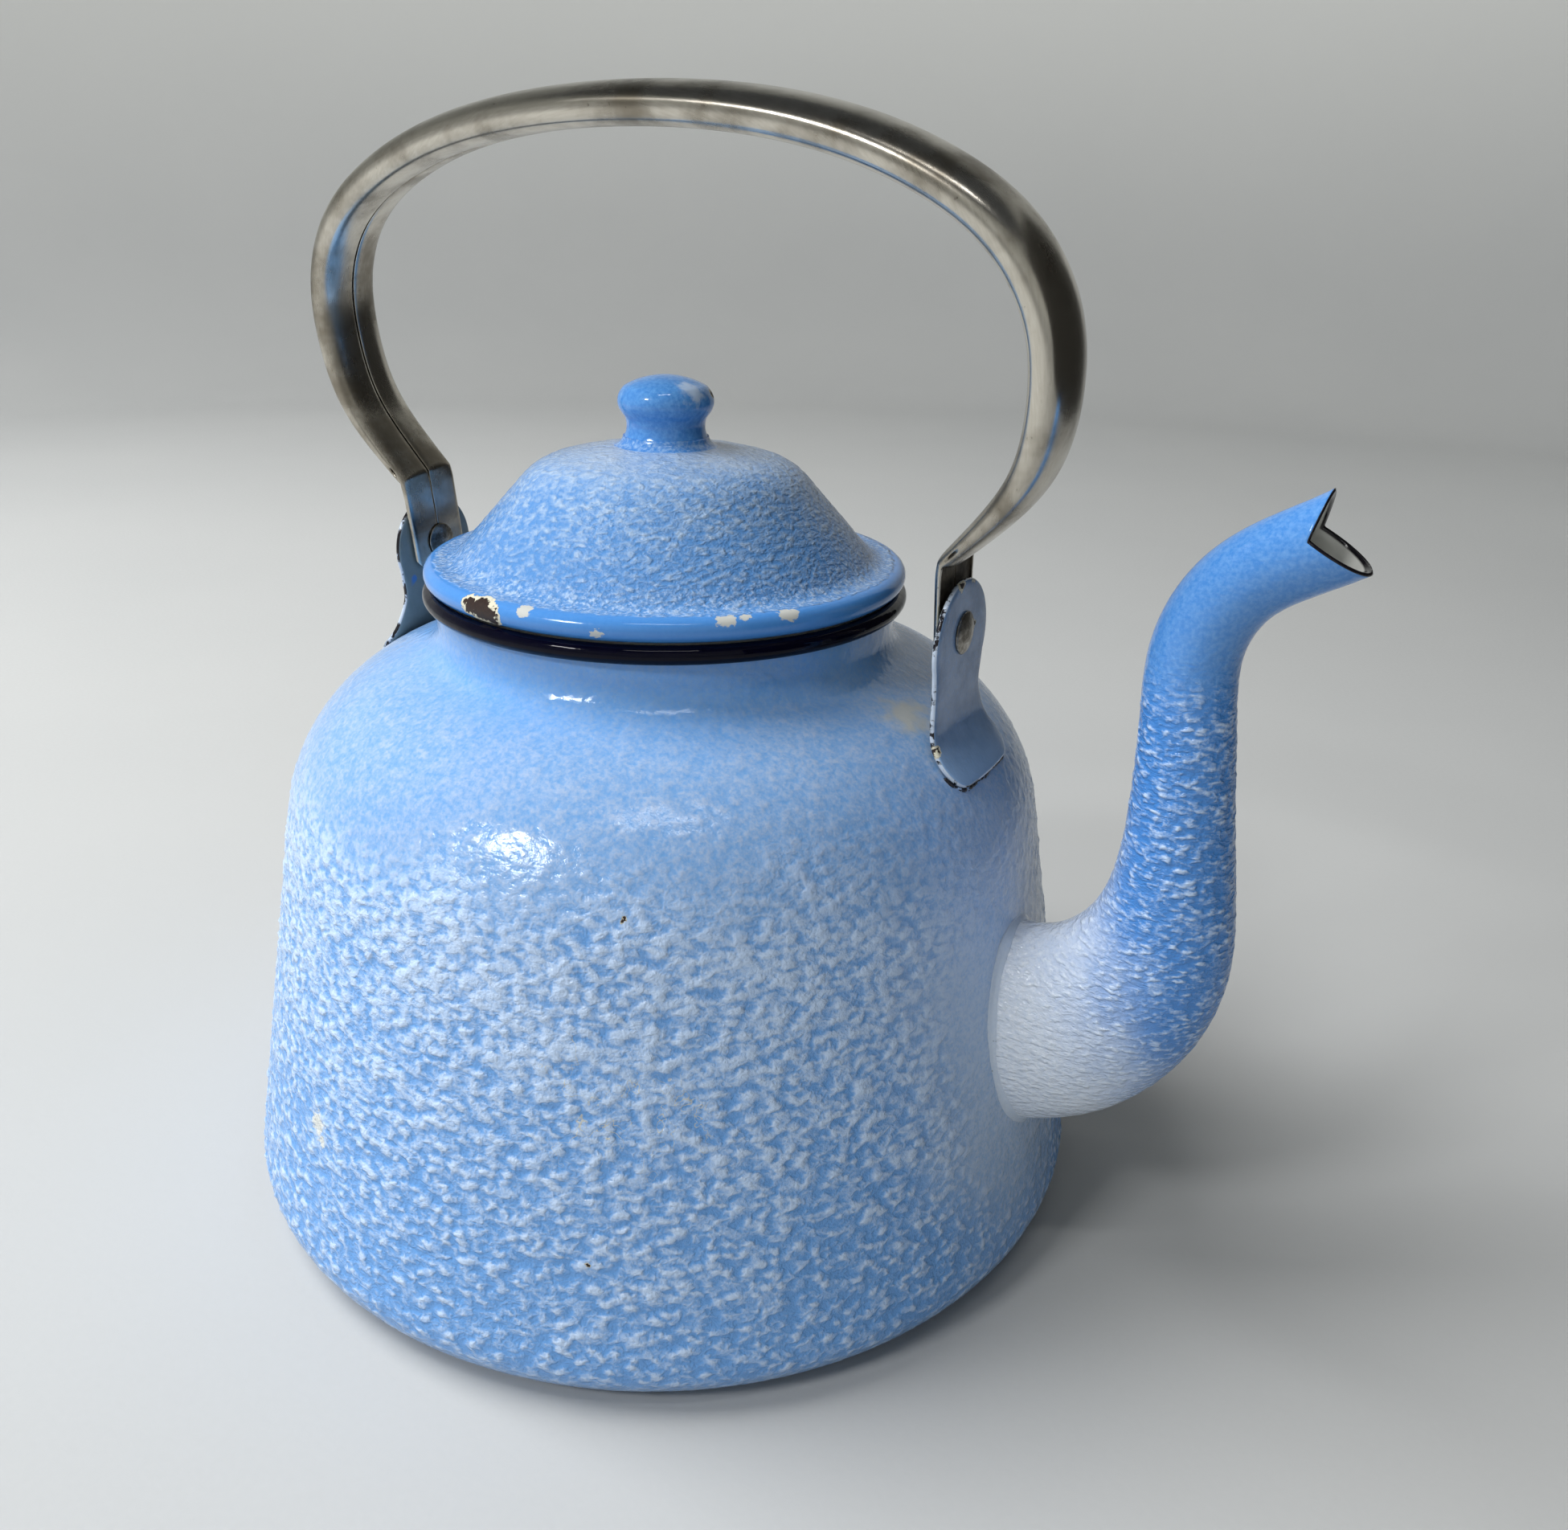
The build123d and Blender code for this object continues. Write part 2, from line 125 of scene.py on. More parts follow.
# right half of the centreline as x, z and full thickness, from the bend above the pivot to the crown
HANDLE_STATIONS = np.array([
    (73.4, 166.3, 4.0),
    (80.6, 173.7, 5.6),
    (88.6, 184.6, 7.4),
    (91.9, 199.0, 8.3),
    (90.6, 213.0, 8.3),
    (82.5, 226.8, 8.3),
    (68.5, 236.6, 8.3),
    (51.5, 243.2, 8.3),
    (25.5, 248.1, 8.3),
])
HANDLE_CROWN = (0.0, 249.4, 8.3)


# ---- outlines
def on_circle(centre, radius, angle):
    return np.array([centre[0] + radius * cos(radians(angle)), centre[1] + radius * sin(radians(angle))])


def arc(centre, radius, start, end):
    """Points along an arc, one every 3 degrees or less."""
    steps = max(4, int(abs(end - start) / 3))
    return [on_circle(centre, radius, a) for a in np.linspace(start, end, steps + 1)]


def dome(radius, rim_z, top_z):
    """An arc from a rim to the axis, level where it meets the axis."""
    rise = abs(top_z - rim_z)
    way = 1 if top_z > rim_z else -1
    bend = (radius**2 + rise**2) / (2 * rise)
    start = degrees(atan2(bend - rise, radius))
    return arc((0, top_z - way * bend), bend, way * start, way * 90)


def bowed(start, middle, end):
    """A smooth curve through three points."""
    t = np.linspace(0, 1, 9)[:, None]
    a, b, c = (np.array(p, float) for p in (start, middle, end))
    control = 2 * b - (a + c) / 2
    return list((1 - t) ** 2 * a + 2 * t * (1 - t) * control + t**2 * c)


def joined(*runs):
    """One polyline from several runs of points, with repeated points left out."""
    points = [np.array(p, float) for run in runs for p in run]
    kept = [points[0]]
    for p in points[1:]:
        if np.linalg.norm(p - kept[-1]) > 1e-4:
            kept.append(p)
    return np.array(kept)


def resampled(points, step):
    """The same polyline with points at even steps along it."""
    gaps = np.linalg.norm(np.diff(points, axis=0), axis=1)
    along = np.concatenate([[0], np.cumsum(gaps)])
    count = max(2, int(round(along[-1] / step)) + 1)
    places = np.linspace(0, along[-1], count)
    return np.stack([np.interp(places, along, points[:, k]) for k in range(points.shape[1])], axis=1)


def inset(points, depth):
    """A polyline moved to its right by depth."""
    forward = np.gradient(points, axis=0)
    forward /= np.linalg.norm(forward, axis=1)[:, None]
    moved = points + depth * np.stack([forward[:, 1], -forward[:, 0]], axis=1)
    on_axis = points[:, 0] < 1e-6
    moved[on_axis, 0] = 0.0
    return moved


# ---- meshes
def new_piece(name, points_mm, faces):
    mesh = bpy.data.meshes.new(name)
    mesh.from_pydata([tuple(p) for p in np.asarray(points_mm) * MM], [], faces)
    mesh.update()
    mesh.polygons.foreach_set("use_smooth", [True] * len(mesh.polygons))
    piece = bpy.data.objects.new(name, mesh)
    bpy.context.scene.collection.objects.link(piece)
    return piece


def lathe(name, profile, columns, closed=False, spin_x=False):
    """Turns an outline of (r, z) points about the vertical axis, or about X where spin_x is set."""
    points, rings, faces = [], [], []
    turn = np.linspace(0, 2 * pi, columns, endpoint=False)
    for r, z in profile:
        first = len(points)
        if r < 1e-6:
            points.append((0.0, 0.0, z))
            rings.append([first] * columns)
        else:
            points.extend(zip(r * np.cos(turn), r * np.sin(turn), np.full(columns, z)))
            rings.append(list(range(first, first + columns)))
    pairs = list(zip(rings, rings[1:]))
    if closed:
        pairs.append((rings[-1], rings[0]))
    for low, high in pairs:
        for k in range(columns):
            j = (k + 1) % columns
            corners = [low[k], low[j], high[j], high[k]]
            face = [c for n, c in enumerate(corners) if c not in corners[:n]]
            if len(face) > 2:
                faces.append(face)
    points = np.array(points)
    if spin_x:
        points = points[:, [2, 0, 1]]
    return new_piece(name, points, faces)


def mark(piece, name, values):
    """Stores one number for each vertex, for the materials to read."""
    attribute = piece.data.attributes.new(name, "FLOAT", "POINT")
    attribute.data.foreach_set("value", np.asarray(values, np.float32))


def mark_inner(piece, first):
    """Marks the vertices from first on as the inner face of a sheet."""
    mark(piece, "inside", np.arange(len(piece.data.vertices)) >= first)


def merged(piece):
    """Joins vertices that lie on each other and drops the faces that this empties."""
    mesh = bmesh.new()
    mesh.from_mesh(piece.data)
    bmesh.ops.remove_doubles(mesh, verts=mesh.verts, dist=1e-6)
    bmesh.ops.dissolve_degenerate(mesh, dist=1e-7, edges=mesh.edges)
    mesh.to_mesh(piece.data)
    mesh.free()


def applied(piece):
    """Makes a piece's modifiers part of its mesh."""
    depsgraph = bpy.context.evaluated_depsgraph_get()
    mesh = bpy.data.meshes.new_from_object(piece.evaluated_get(depsgraph), depsgraph=depsgraph)
    piece.modifiers.clear()
    piece.data = mesh
    return piece


# ---- body
CORNER = (BASE_FLAT_R, BASE_CORNER_R)
_side_low = on_circle(CORNER, BASE_CORNER_R, SIDE_LEAN)
_side_top_r = _side_low[0] - (SIDE_TOP_Z - _side_low[1]) * tan(radians(SIDE_LEAN))
SHOULDER = (
    _side_top_r - SHOULDER_R * cos(radians(SIDE_LEAN)),
    SIDE_TOP_Z - SHOULDER_R * sin(radians(SIDE_LEAN)),
)


def neck_blend_centre():
    end = on_circle(SHOULDER, SHOULDER_R, SHOULDER_END)
    tilt = radians(SHOULDER_END)
    centre_r = NECK_OUTER_R + NECK_BLEND_R
    run = (end[0] + NECK_BLEND_R * cos(tilt) - centre_r) / sin(tilt)
    return centre_r, end[1] + run * cos(tilt) + NECK_BLEND_R * sin(tilt)


def body_profile(depth=0.0):
    """Outer skin from the edge of the flat base to the top of the neck, moved in by depth."""
    blend = neck_blend_centre()
    return joined(
        arc(CORNER, BASE_CORNER_R - depth, -90, SIDE_LEAN),
        arc(SHOULDER, SHOULDER_R - depth, SIDE_LEAN, SHOULDER_END),
        arc(blend, NECK_BLEND_R + depth, 180 + SHOULDER_END, 180),
        [(NECK_OUTER_R - depth, BEAD_Z)],
    )


SKIN = body_profile()


def skin_radius(z):
    """Radius of the body's outer skin at a height, above the base's corner."""
    above = SKIN[:, 1] >= BASE_CORNER_R
    return np.interp(z, SKIN[above, 1], SKIN[above, 0])


def make_body():
    outer = resampled(SKIN, 1.12)
    base = np.stack([np.linspace(0, BASE_FLAT_R, 10)[:-1], np.zeros(9)], axis=1)
    inner = resampled(body_profile(WALL), 6.5)
    inner_base = np.stack([np.linspace(0, BASE_FLAT_R, 6)[:-1], np.full(5, WALL)], axis=1)
    profile = np.concatenate([base, outer, inner[::-1], inner_base[::-1]])
    piece = lathe("kettle_body", profile, BODY_COLUMNS)
    mark_inner(piece, 1 + BODY_COLUMNS * (len(base) + len(outer) - 1))
    return piece


def make_neck_rim():
    centre = (NECK_OUTER_R - WALL + BEAD_R, BEAD_Z)
    outer = arc(centre, BEAD_R, 180, BEAD_END)
    inner = arc(centre, BEAD_R - WALL, BEAD_END, 180)
    return lathe("neck_rim", joined(outer, inner), 320, closed=True)


# ---- lid
def lid_profile():
    crown = (0, LID_CROWN_Z - LID_CROWN_R)
    crown_end = degrees(acos(LID_CROWN_EDGE / LID_CROWN_R))
    start = on_circle(crown, LID_CROWN_R, crown_end)
    shoulder = start - LID_SHOULDER_R * np.array([cos(radians(crown_end)), sin(radians(crown_end))])
    flank_angle = 90 - LID_SLOPE
    flank_top = on_circle(shoulder, LID_SHOULDER_R, flank_angle)
    flange_z = LID_RIM_Z + LID_RIM_R
    meet_r = flank_top[0] + (flank_top[1] - flange_z) / tan(radians(LID_SLOPE))
    blend = (meet_r + LID_BLEND_R * tan(radians(LID_SLOPE / 2)), flange_z + LID_BLEND_R)
    vent_angle = degrees(acos(VENT_R / LID_CROWN_R))
    return joined(
        arc(crown, LID_CROWN_R, vent_angle, crown_end),
        arc(shoulder, LID_SHOULDER_R, crown_end, flank_angle),
        arc(blend, LID_BLEND_R, 180 + flank_angle, 270),
        arc((LID_RIM_CENTRE_R, LID_RIM_Z), LID_RIM_R, 90, LID_RIM_END),
    )


def make_lid():
    outline = lid_profile()
    outer = resampled(outline, 0.95)
    inner = resampled(inset(resampled(outline, 0.5), LID_WALL), 1.9)
    piece = lathe("lid_shell_skin", np.concatenate([outer, inner[::-1]]), LID_COLUMNS, closed=True)
    mark_inner(piece, LID_COLUMNS * len(outer))
    return piece


def make_collar():
    top = LID_RIM_Z + LID_RIM_R - LID_WALL
    mid = COLLAR_OUTER_R - COLLAR_WALL / 2
    edge = COLLAR_WALL / 2
    profile = joined(
        arc((mid, COLLAR_BOTTOM_Z + edge), edge, -180, 0),
        arc((mid, top - edge), edge, 0, 180),
        [(mid - edge, COLLAR_BOTTOM_Z + edge + 1)],
    )
    return lathe("lid_collar_ring", resampled(profile, 0.7), 240, closed=True)


def make_knob():
    foot = LID_CROWN_Z - 1.0
    upright = foot + KNOB_FOOT_HIGH
    waist_top = upright + KNOB_WAIST_HIGH
    head_top = waist_top + KNOB_HEAD_HIGH
    waist = (KNOB_WAIST_R, upright + KNOB_WAIST_HIGH / 2)
    widest = (KNOB_HEAD_R, waist_top + KNOB_HEAD_HIGH / 2)
    outline = joined(
        [(KNOB_FOOT_R, foot)],
        bowed((KNOB_FOOT_R, upright), waist, (KNOB_SHOULDER_R, waist_top)),
        bowed((KNOB_SHOULDER_R, waist_top), widest, (KNOB_SHOULDER_R, head_top)),
        dome(KNOB_SHOULDER_R, head_top, KNOB_TOP_Z),
    )
    outer = resampled(outline, 0.55)
    inner = resampled(inset(outline, -KNOB_WALL), 1.2)
    return lathe("lid_knob_skin", np.concatenate([inner[::-1], outer]), 160)


# ---- spout
def natural_spline(knots, values, places):
    """A natural cubic spline through values at the knots, read at the places."""
    n = len(knots)
    h = np.diff(knots)
    a = np.eye(n)
    b = np.zeros_like(values)
    for i in range(1, n - 1):
        a[i, i - 1 : i + 2] = (h[i - 1], 2 * (h[i - 1] + h[i]), h[i])
        b[i] = 6 * ((values[i + 1] - values[i]) / h[i] - (values[i] - values[i - 1]) / h[i - 1])
    bend = np.linalg.solve(a, b)
    i = np.clip(np.searchsorted(knots, places) - 1, 0, n - 2)
    t0, t1 = (knots[i + 1] - places)[:, None], (places - knots[i])[:, None]
    gap = h[i][:, None]
    return (
        (bend[i] * t0**3 + bend[i + 1] * t1**3) / (6 * gap)
        + (values[i] / gap - bend[i] * gap / 6) * t0
        + (values[i + 1] / gap - bend[i + 1] * gap / 6) * t1
    )


def fine_line(stations, count):
    """Stations joined by a spline: count rows, evenly spaced by chord length."""
    chord = np.linalg.norm(np.diff(stations[:, :2], axis=0), axis=1)
    knots = np.concatenate([[0], np.cumsum(chord)])
    return natural_spline(knots, stations, np.linspace(0, knots[-1], count))


def radial_gap(points):
    """How far points stand outside the body's skin."""
    return np.hypot(points[..., 0], points[..., 1]) - skin_radius(points[..., 2])


def first_crossing(values):
    """Fractional row at which each column of values first goes from below zero to above it."""
    up = (values[:-1] < 0) & (values[1:] >= 0)
    row = up.argmax(axis=0)
    columns = np.arange(values.shape[1])
    low, high = values[row, columns], values[row + 1, columns]
    return row - low / (high - low)


def read_rows(grid, rows):
    """The grid's points at fractional rows, one set of rows for each column."""
    low = np.clip(np.floor(rows).astype(int), 0, len(grid) - 2)
    part = (rows - low)[..., None]
    columns = np.broadcast_to(np.arange(grid.shape[1]), rows.shape)
    return grid[low, columns] * (1 - part) + grid[low + 1, columns] * part


def spout_grid(depth, columns):
    """Points of the spout's skin, moved in by depth, long before its ends are trimmed."""
    line = fine_line(SPOUT_STATIONS, 500)
    along = np.gradient(line[:, :2], axis=0)
    along /= np.linalg.norm(along, axis=1)[:, None]
    turn = np.linspace(0, 2 * pi, columns, endpoint=False)
    high = (line[:, 2] - depth)[:, None] * np.sin(turn)
    wide = (line[:, 3] - depth)[:, None] * np.cos(turn)
    x = line[:, :1] - along[:, 1:] * high
    z = line[:, 1:2] + along[:, :1] * high
    return np.stack([x, wide, z], axis=2)


def mouth_side(grid):
    """Above zero inside the V that is cut from the mouth."""
    basis = np.linalg.inv(np.stack([MOUTH_TOP - MOUTH_NOTCH, MOUTH_TIP - MOUTH_NOTCH], axis=1))
    shares = (grid[..., [0, 2]] - MOUTH_NOTCH) @ basis.T
    return shares.min(axis=2)


def trimmed_spout(depth, columns, rows):
    grid = spout_grid(depth, columns)
    start = first_crossing(radial_gap(grid))
    end = first_crossing(mouth_side(grid))
    share = np.linspace(0, 1, rows)[:, None]
    return read_rows(grid, start + (end - start) * share)


def tube_faces(rings, columns, loop=False):
    faces = []
    for i in range(rings if loop else rings - 1):
        a, b = i * columns, ((i + 1) % rings) * columns
        for k in range(columns):
            j = (k + 1) % columns
            faces.append([a + k, a + j, b + j, b + k])
    return faces


SPOUT_COLUMNS = 144
SPOUT_ROWS = 180
SPOUT_INNER_ROWS = 60
SPOUT_LIP = 0.4           # how far the rounded lip stands ahead of the cut


def make_spout():
    columns = SPOUT_COLUMNS
    outer = trimmed_spout(0, columns, SPOUT_ROWS)
    inner = trimmed_spout(SPOUT_WALL, columns, SPOUT_INNER_ROWS)
    middle = trimmed_spout(SPOUT_WALL / 2, columns, SPOUT_INNER_ROWS)
    ahead = middle[-1] - middle[-2]
    ahead /= np.linalg.norm(ahead, axis=1)[:, None]
    lip = middle[-1] + ahead * SPOUT_LIP
    grid = np.concatenate([outer, lip[None], inner[::-1]])
    piece = new_piece("spout_tube", grid.reshape(-1, 3), tube_faces(len(grid), columns, loop=True))
    edge = np.zeros(len(grid))
    edge[len(outer) - 1 : len(outer) + 2] = 1.0
    inside = np.zeros(len(grid))
    inside[len(outer) + 1 :] = 1.0
    mark(piece, "edge", np.repeat(edge, columns))
    mark(piece, "inside", np.repeat(inside, columns))
    return piece


def make_spout_fillet():
    """Concave ring of filler and enamel between the body and the foot of the spout."""
    columns = 200
    surface = trimmed_spout(0, columns, SPOUT_ROWS)
    foot = surface[0]
    up = surface[2] - foot
    up /= np.linalg.norm(up, axis=1)[:, None]
    around = np.roll(foot, -1, axis=0) - np.roll(foot, 1, axis=0)
    out = foot * (1, 1, 0)
    out /= np.linalg.norm(out, axis=1)[:, None]
    away = np.cross(around, out)
    away /= np.linalg.norm(away, axis=1)[:, None]
    away *= np.sign((away * (foot - foot.mean(axis=0))).sum(axis=1))[:, None]
    turn = np.linspace(0, 2 * pi, columns, endpoint=False)
    size = 1.5 + 0.3 * np.sin(3 * turn + 1) + 0.2 * np.sin(7 * turn)
    rings = []
    for t in np.linspace(0, 1, 7):
        low, corner, high = (1 - t) ** 2, 2 * t * (1 - t), t**2
        rings.append(foot + size[:, None] * (away * (low + corner * 0.2) + up * (high + corner * 0.2)))
    rings[0] -= 0.35 * out
    rings[-1] -= 0.25 * np.cross(around / np.linalg.norm(around, axis=1)[:, None], up)
    rings.append(foot - 0.6 * out)
    grid = np.array(rings)
    return new_piece("spout_foot_filler", grid.reshape(-1, 3), tube_faces(len(grid), columns, loop=True))


# ---- handle ears
def ear_side(foot_half):
    """One side of the ear seen along X, from the middle of its head to the middle of its foot."""
    drop = LUG_LOBE_R / 3
    join = (sqrt(LUG_LOBE_R**2 - drop**2), LUG_LOBE_Z - drop)
    foot_top = LUG_FOOT_Z + LUG_FOOT_CORNER
    lowest = degrees(atan2(-drop, join[0]))
    head = [on_circle((0, LUG_LOBE_Z), LUG_LOBE_R, a) for a in np.linspace(90, lowest, 30)]
    knots = np.array([foot_top, LUG_WAIST_Z - 4, LUG_WAIST_Z, LUG_WAIST_Z + 4, join[1]])
    spread = (LUG_WAIST_HALF * 2 + foot_half) / 3 - 0.4
    half = np.array([foot_half, spread, LUG_WAIST_HALF - 0.2, LUG_WAIST_HALF, join[0]])
    z = np.linspace(join[1], foot_top, 24)[1:]
    flank = list(zip(natural_spline(knots, half[:, None], z)[:, 0], z))
    corner_centre = (foot_half - LUG_FOOT_CORNER, foot_top)
    corner = [on_circle(corner_centre, LUG_FOOT_CORNER, a) for a in np.linspace(0, -90, 10)[1:]]
    bottom = [(corner_centre[0] * t, LUG_FOOT_Z) for t in (0.75, 0.5, 0.25, 0.0)]
    return np.array(head + flank + corner + bottom)


def ear_outline():
    """The ear seen along X: a round head, a waist and a foot that spreads to +Y."""
    right = ear_side(LUG_FOOT_WIDE)
    left = ear_side(LUG_FOOT_NARROW) * (-1, 1)
    return np.concatenate([right, left[-2:0:-1]])


def ear_inner_x(y, z):
    """Inner face of the ear: upright, then following the shoulder, with a soft bend between."""
    soft = 4.0
    skin = np.sqrt(np.maximum(skin_radius(z) ** 2 - y**2, 0))
    return (LUG_INNER_X + skin + np.sqrt((LUG_INNER_X - skin) ** 2 + soft**2)) / 2 - soft / 12


def make_ear(name, turned):
    outline = ear_outline()
    spine_z = np.clip(outline[:, 1], LUG_FOOT_Z + 9, PIVOT_Z - 1.5)
    spine = np.stack([np.zeros(len(outline)), spine_z], axis=1)
    reach = np.linalg.norm(outline - spine, axis=1)
    half = LUG_THICK / 2
    rims = [0.0, 0.05, 0.18, 0.4, 0.75]
    shares = [np.minimum(d / reach, 0.9) for d in rims]
    last = shares[-1]
    shares += [last + (1.0 - last) * t for t in np.linspace(0.12, 1, 9)]
    depths = [half * sqrt(1 - (1 - min(d / rims[-1], 1.0)) ** 2) for d in rims] + [half] * 9

    def layer(share, depth):
        flat = outline + (spine - outline) * share[:, None]
        y, z = flat[:, 0], flat[:, 1]
        x = ear_inner_x(y, z)
        step = 0.2
        slope_y = (ear_inner_x(y + step, z) - x) / step
        slope_z = (ear_inner_x(y, z + step) - x) / step
        normal = np.stack([np.ones(len(y)), -slope_y, -slope_z], axis=1)
        normal /= np.linalg.norm(normal, axis=1)[:, None]
        return np.stack([x, y, z], axis=1) + normal * (half + depth)

    front = [layer(s, d) for s, d in zip(shares, depths)]
    back = [layer(s, -d) for s, d in zip(shares, depths)][1:]
    grid = np.array(back[::-1] + front)
    columns = len(outline)
    points = grid.reshape(-1, 3)
    faces = tube_faces(len(grid), columns)
    faces = [f[::-1] for f in faces]
    if turned:
        points = points * (-1, -1, 1)
    piece = new_piece(name, points, faces)
    edge = [1.0 if d < 0.4 else 0.0 for d in rims[1:]] + [0.0] * 9
    edge = edge[::-1] + [1.0] + edge
    back_side = [1.0] * len(back) + [0.0] * len(front)
    mark(piece, "edge", np.repeat(edge, columns))
    mark(piece, "inside", np.repeat(back_side, columns))
    merged(piece)
    return piece


def make_ear_weld(name, turned, seed):
    """A thin broken line of filler along the lower edge of an ear's foot."""
    outline = ear_outline()
    low = outline[outline[:, 1] < LUG_FOOT_Z + 4.0]
    low = low[np.argsort(low[:, 0])]
    path = resampled(low, 0.35)
    y, z = path[:, 0], path[:, 1] - 0.15
    x = np.sqrt(skin_radius(z) ** 2 - y**2)
    centre = np.stack([x, y, z], axis=1) + np.array([0.1, 0, 0])
    draw = np.random.default_rng(seed)
    rough = np.convolve(draw.normal(size=len(path) + 12), np.ones(6) / 6, "same")[6:-6]
    size = np.clip(0.42 + 0.45 * rough, 0.12, 0.9)
    size[[0, -1]] = 0.05
    forward = np.gradient(centre, axis=0)
    forward /= np.linalg.norm(forward, axis=1)[:, None]
    out = np.cross(forward, (0, 0, 1.0))
    out /= np.linalg.norm(out, axis=1)[:, None]
    other = np.cross(out, forward)
    turn = np.linspace(0, 2 * pi, 10, endpoint=False)
    grid = np.array([c + s * (np.cos(turn)[:, None] * o + np.sin(turn)[:, None] * p)
                     for c, s, o, p in zip(centre, size, out, other)])
    points = grid.reshape(-1, 3)
    if turned:
        points = points * (-1, -1, 1)
    faces = tube_faces(len(grid), 10)
    faces.append(list(range(10))[::-1])
    faces.append(list(range(len(points) - 10, len(points))))
    return new_piece(name, points, faces)


# ---- rivets
RIVET_RIM = 0.35          # height at which the upright edge of a head turns into its dome
RIVET_EDGE = 0.2          # height of the widest point of a head
RIVET_ROUND = 0.15        # how far the dome's foot stands in from the widest point
RIVET_UNDERCUT = 0.1      # how far a head's seat stands in from the widest point
RIVET_SINK = 0.02
RIVET_TAIL_R = RIVET_HEAD_R - 0.3
RIVET_STEP = 0.25
RIVET_COLUMNS = 72


def make_rivets():
    outer = LUG_INNER_X + LUG_THICK
    tail = WEB_X - RIVET_TAIL_GAP
    outline = joined(
        dome(RIVET_HEAD_R - RIVET_ROUND, outer + RIVET_RIM, outer + RIVET_HEAD_HIGH)[::-1],
        [(RIVET_HEAD_R, outer + RIVET_EDGE), (RIVET_HEAD_R - RIVET_UNDERCUT, outer)],
        [(RIVET_R, outer - RIVET_SINK), (RIVET_R, tail + RIVET_SINK)],
        [(RIVET_TAIL_R - RIVET_UNDERCUT, tail), (RIVET_TAIL_R, tail - RIVET_EDGE)],
        dome(RIVET_TAIL_R - RIVET_ROUND, tail - RIVET_RIM, tail - RIVET_TAIL_HIGH),
    )
    piece = lathe("pivot_rivet_pair", resampled(outline, RIVET_STEP), RIVET_COLUMNS, spin_x=True)
    mesh = piece.data
    points = np.array([v.co for v in mesh.vertices]) / MM + (0, 0, PIVOT_Z)
    faces = [list(p.vertices) for p in mesh.polygons]
    both = np.concatenate([points, points * (-1, -1, 1)])
    faces += [[len(points) + i for i in f] for f in faces]
    bpy.data.objects.remove(piece)
    return new_piece("pivot_rivet_pair", both, faces)


# ---- handle
SEAM_HALF = 0.12          # half of the gap between the two edges of the rolled sheet
SEAM_DIP = 0.4            # how far those edges turn in
FLANGE_TOP = 2.3          # depth of the end plate's turned edges at the bend
FLANGE_BOTTOM = 1.3
FLANGE_FADE = 2.2         # drop over which those edges shrink, so that they swing clear of the ears
PLATE_TOP_Z = 167.7
PLATE_HIGH = 24.6
PLATE_EASE = 3.6          # drop over which the tube's section flattens into the plate
PLATE_CORNER = 1.0        # bend of the turned edges


def handle_section(thick, angle):
    """Across and outwards for angles round the section, from the seam at -90 degrees."""
    c, s = np.cos(radians(1) * angle), np.sin(radians(1) * angle)
    power = np.where(s < 0, 2 / 2.9, 2 / 2.2)
    across = HANDLE_WIDE / 2 * np.sign(c) * np.abs(c) ** power
    out = thick / 2 * np.sign(s) * np.abs(s) ** power
    near = np.clip(1 - np.abs(across) / 1.3, 0, 1) * (s < 0)
    return across, out + SEAM_DIP * near**2


def handle_angles():
    """Angles from one edge of the sheet, at the seam, round to the other."""
    half = HANDLE_WIDE / 2
    near = [degrees(asin(min(1, (d / half) ** (2.9 / 2)))) for d in (SEAM_HALF, 0.35, 0.7, 1.3, 2.2)]
    even = np.linspace(near[-1], 180, 22)[1:]
    right = np.array(near + list(even)) - 90
    left = 180 - right[::-1]
    return np.concatenate([right, left[1:]])


def handle_rows():
    stations = np.concatenate([HANDLE_STATIONS * (-1, 1, 1), [HANDLE_CROWN], HANDLE_STATIONS[::-1]])
    return fine_line(stations, 132)


def make_handle():
    rows = handle_rows()
    angle = handle_angles()
    along = np.gradient(rows[:, :2], axis=0)
    along /= np.linalg.norm(along, axis=1)[:, None]
    grid = []
    for (x, z, thick), (tx, tz) in zip(rows, along):
        across, out = handle_section(thick, angle)
        grid.append(np.stack([x - tz * out, across, z + tx * out], axis=1))
    grid = np.array(grid)
    columns = len(angle)
    points = [tuple(p) for p in grid.reshape(-1, 3)]
    faces = []
    notch_columns = {int(np.abs(angle - a).argmin()) for a in (0, 180)}
    for i in range(len(rows) - 1):
        for k in range(columns - 1):
            at_notch = k in notch_columns and i in (1, len(rows) - 3)
            if not at_notch:
                a, b = i * columns + k, (i + 1) * columns + k
                faces.append([a, a + 1, b + 1, b])
    for end in (0, len(rows) - 1):
        add_end_plate(points, faces, grid[end], angle, end * columns, end > 0)
    points = np.array(points)
    lean = radians(HANDLE_LEAN)
    y, z = points[:, 1].copy(), points[:, 2] - PIVOT_Z
    points[:, 1] = y * cos(lean) - z * sin(lean)
    points[:, 2] = PIVOT_Z + y * sin(lean) + z * cos(lean)
    piece = new_piece("bail_handle_bar", points, faces)
    sheet = piece.modifiers.new("sheet", "SOLIDIFY")
    sheet.thickness = HANDLE_SHEET * MM
    sheet.offset = -1.0
    sheet.material_offset = 1     # the inner face takes the second material, below
    piece.data.materials.append(material("handle_plating", handle_plating))
    # the second material paints the inner face dark, as painted shade in the hollow of the channel
    piece.data.materials.append(material("inner_steel_painted_shade", inner_steel_painted_shade))
    round_off = piece.modifiers.new("round", "SUBSURF")
    round_off.levels = round_off.render_levels = 1
    piece = applied(piece)
    piece.data.polygons.foreach_set("use_smooth", [True] * len(piece.data.polygons))
    return piece


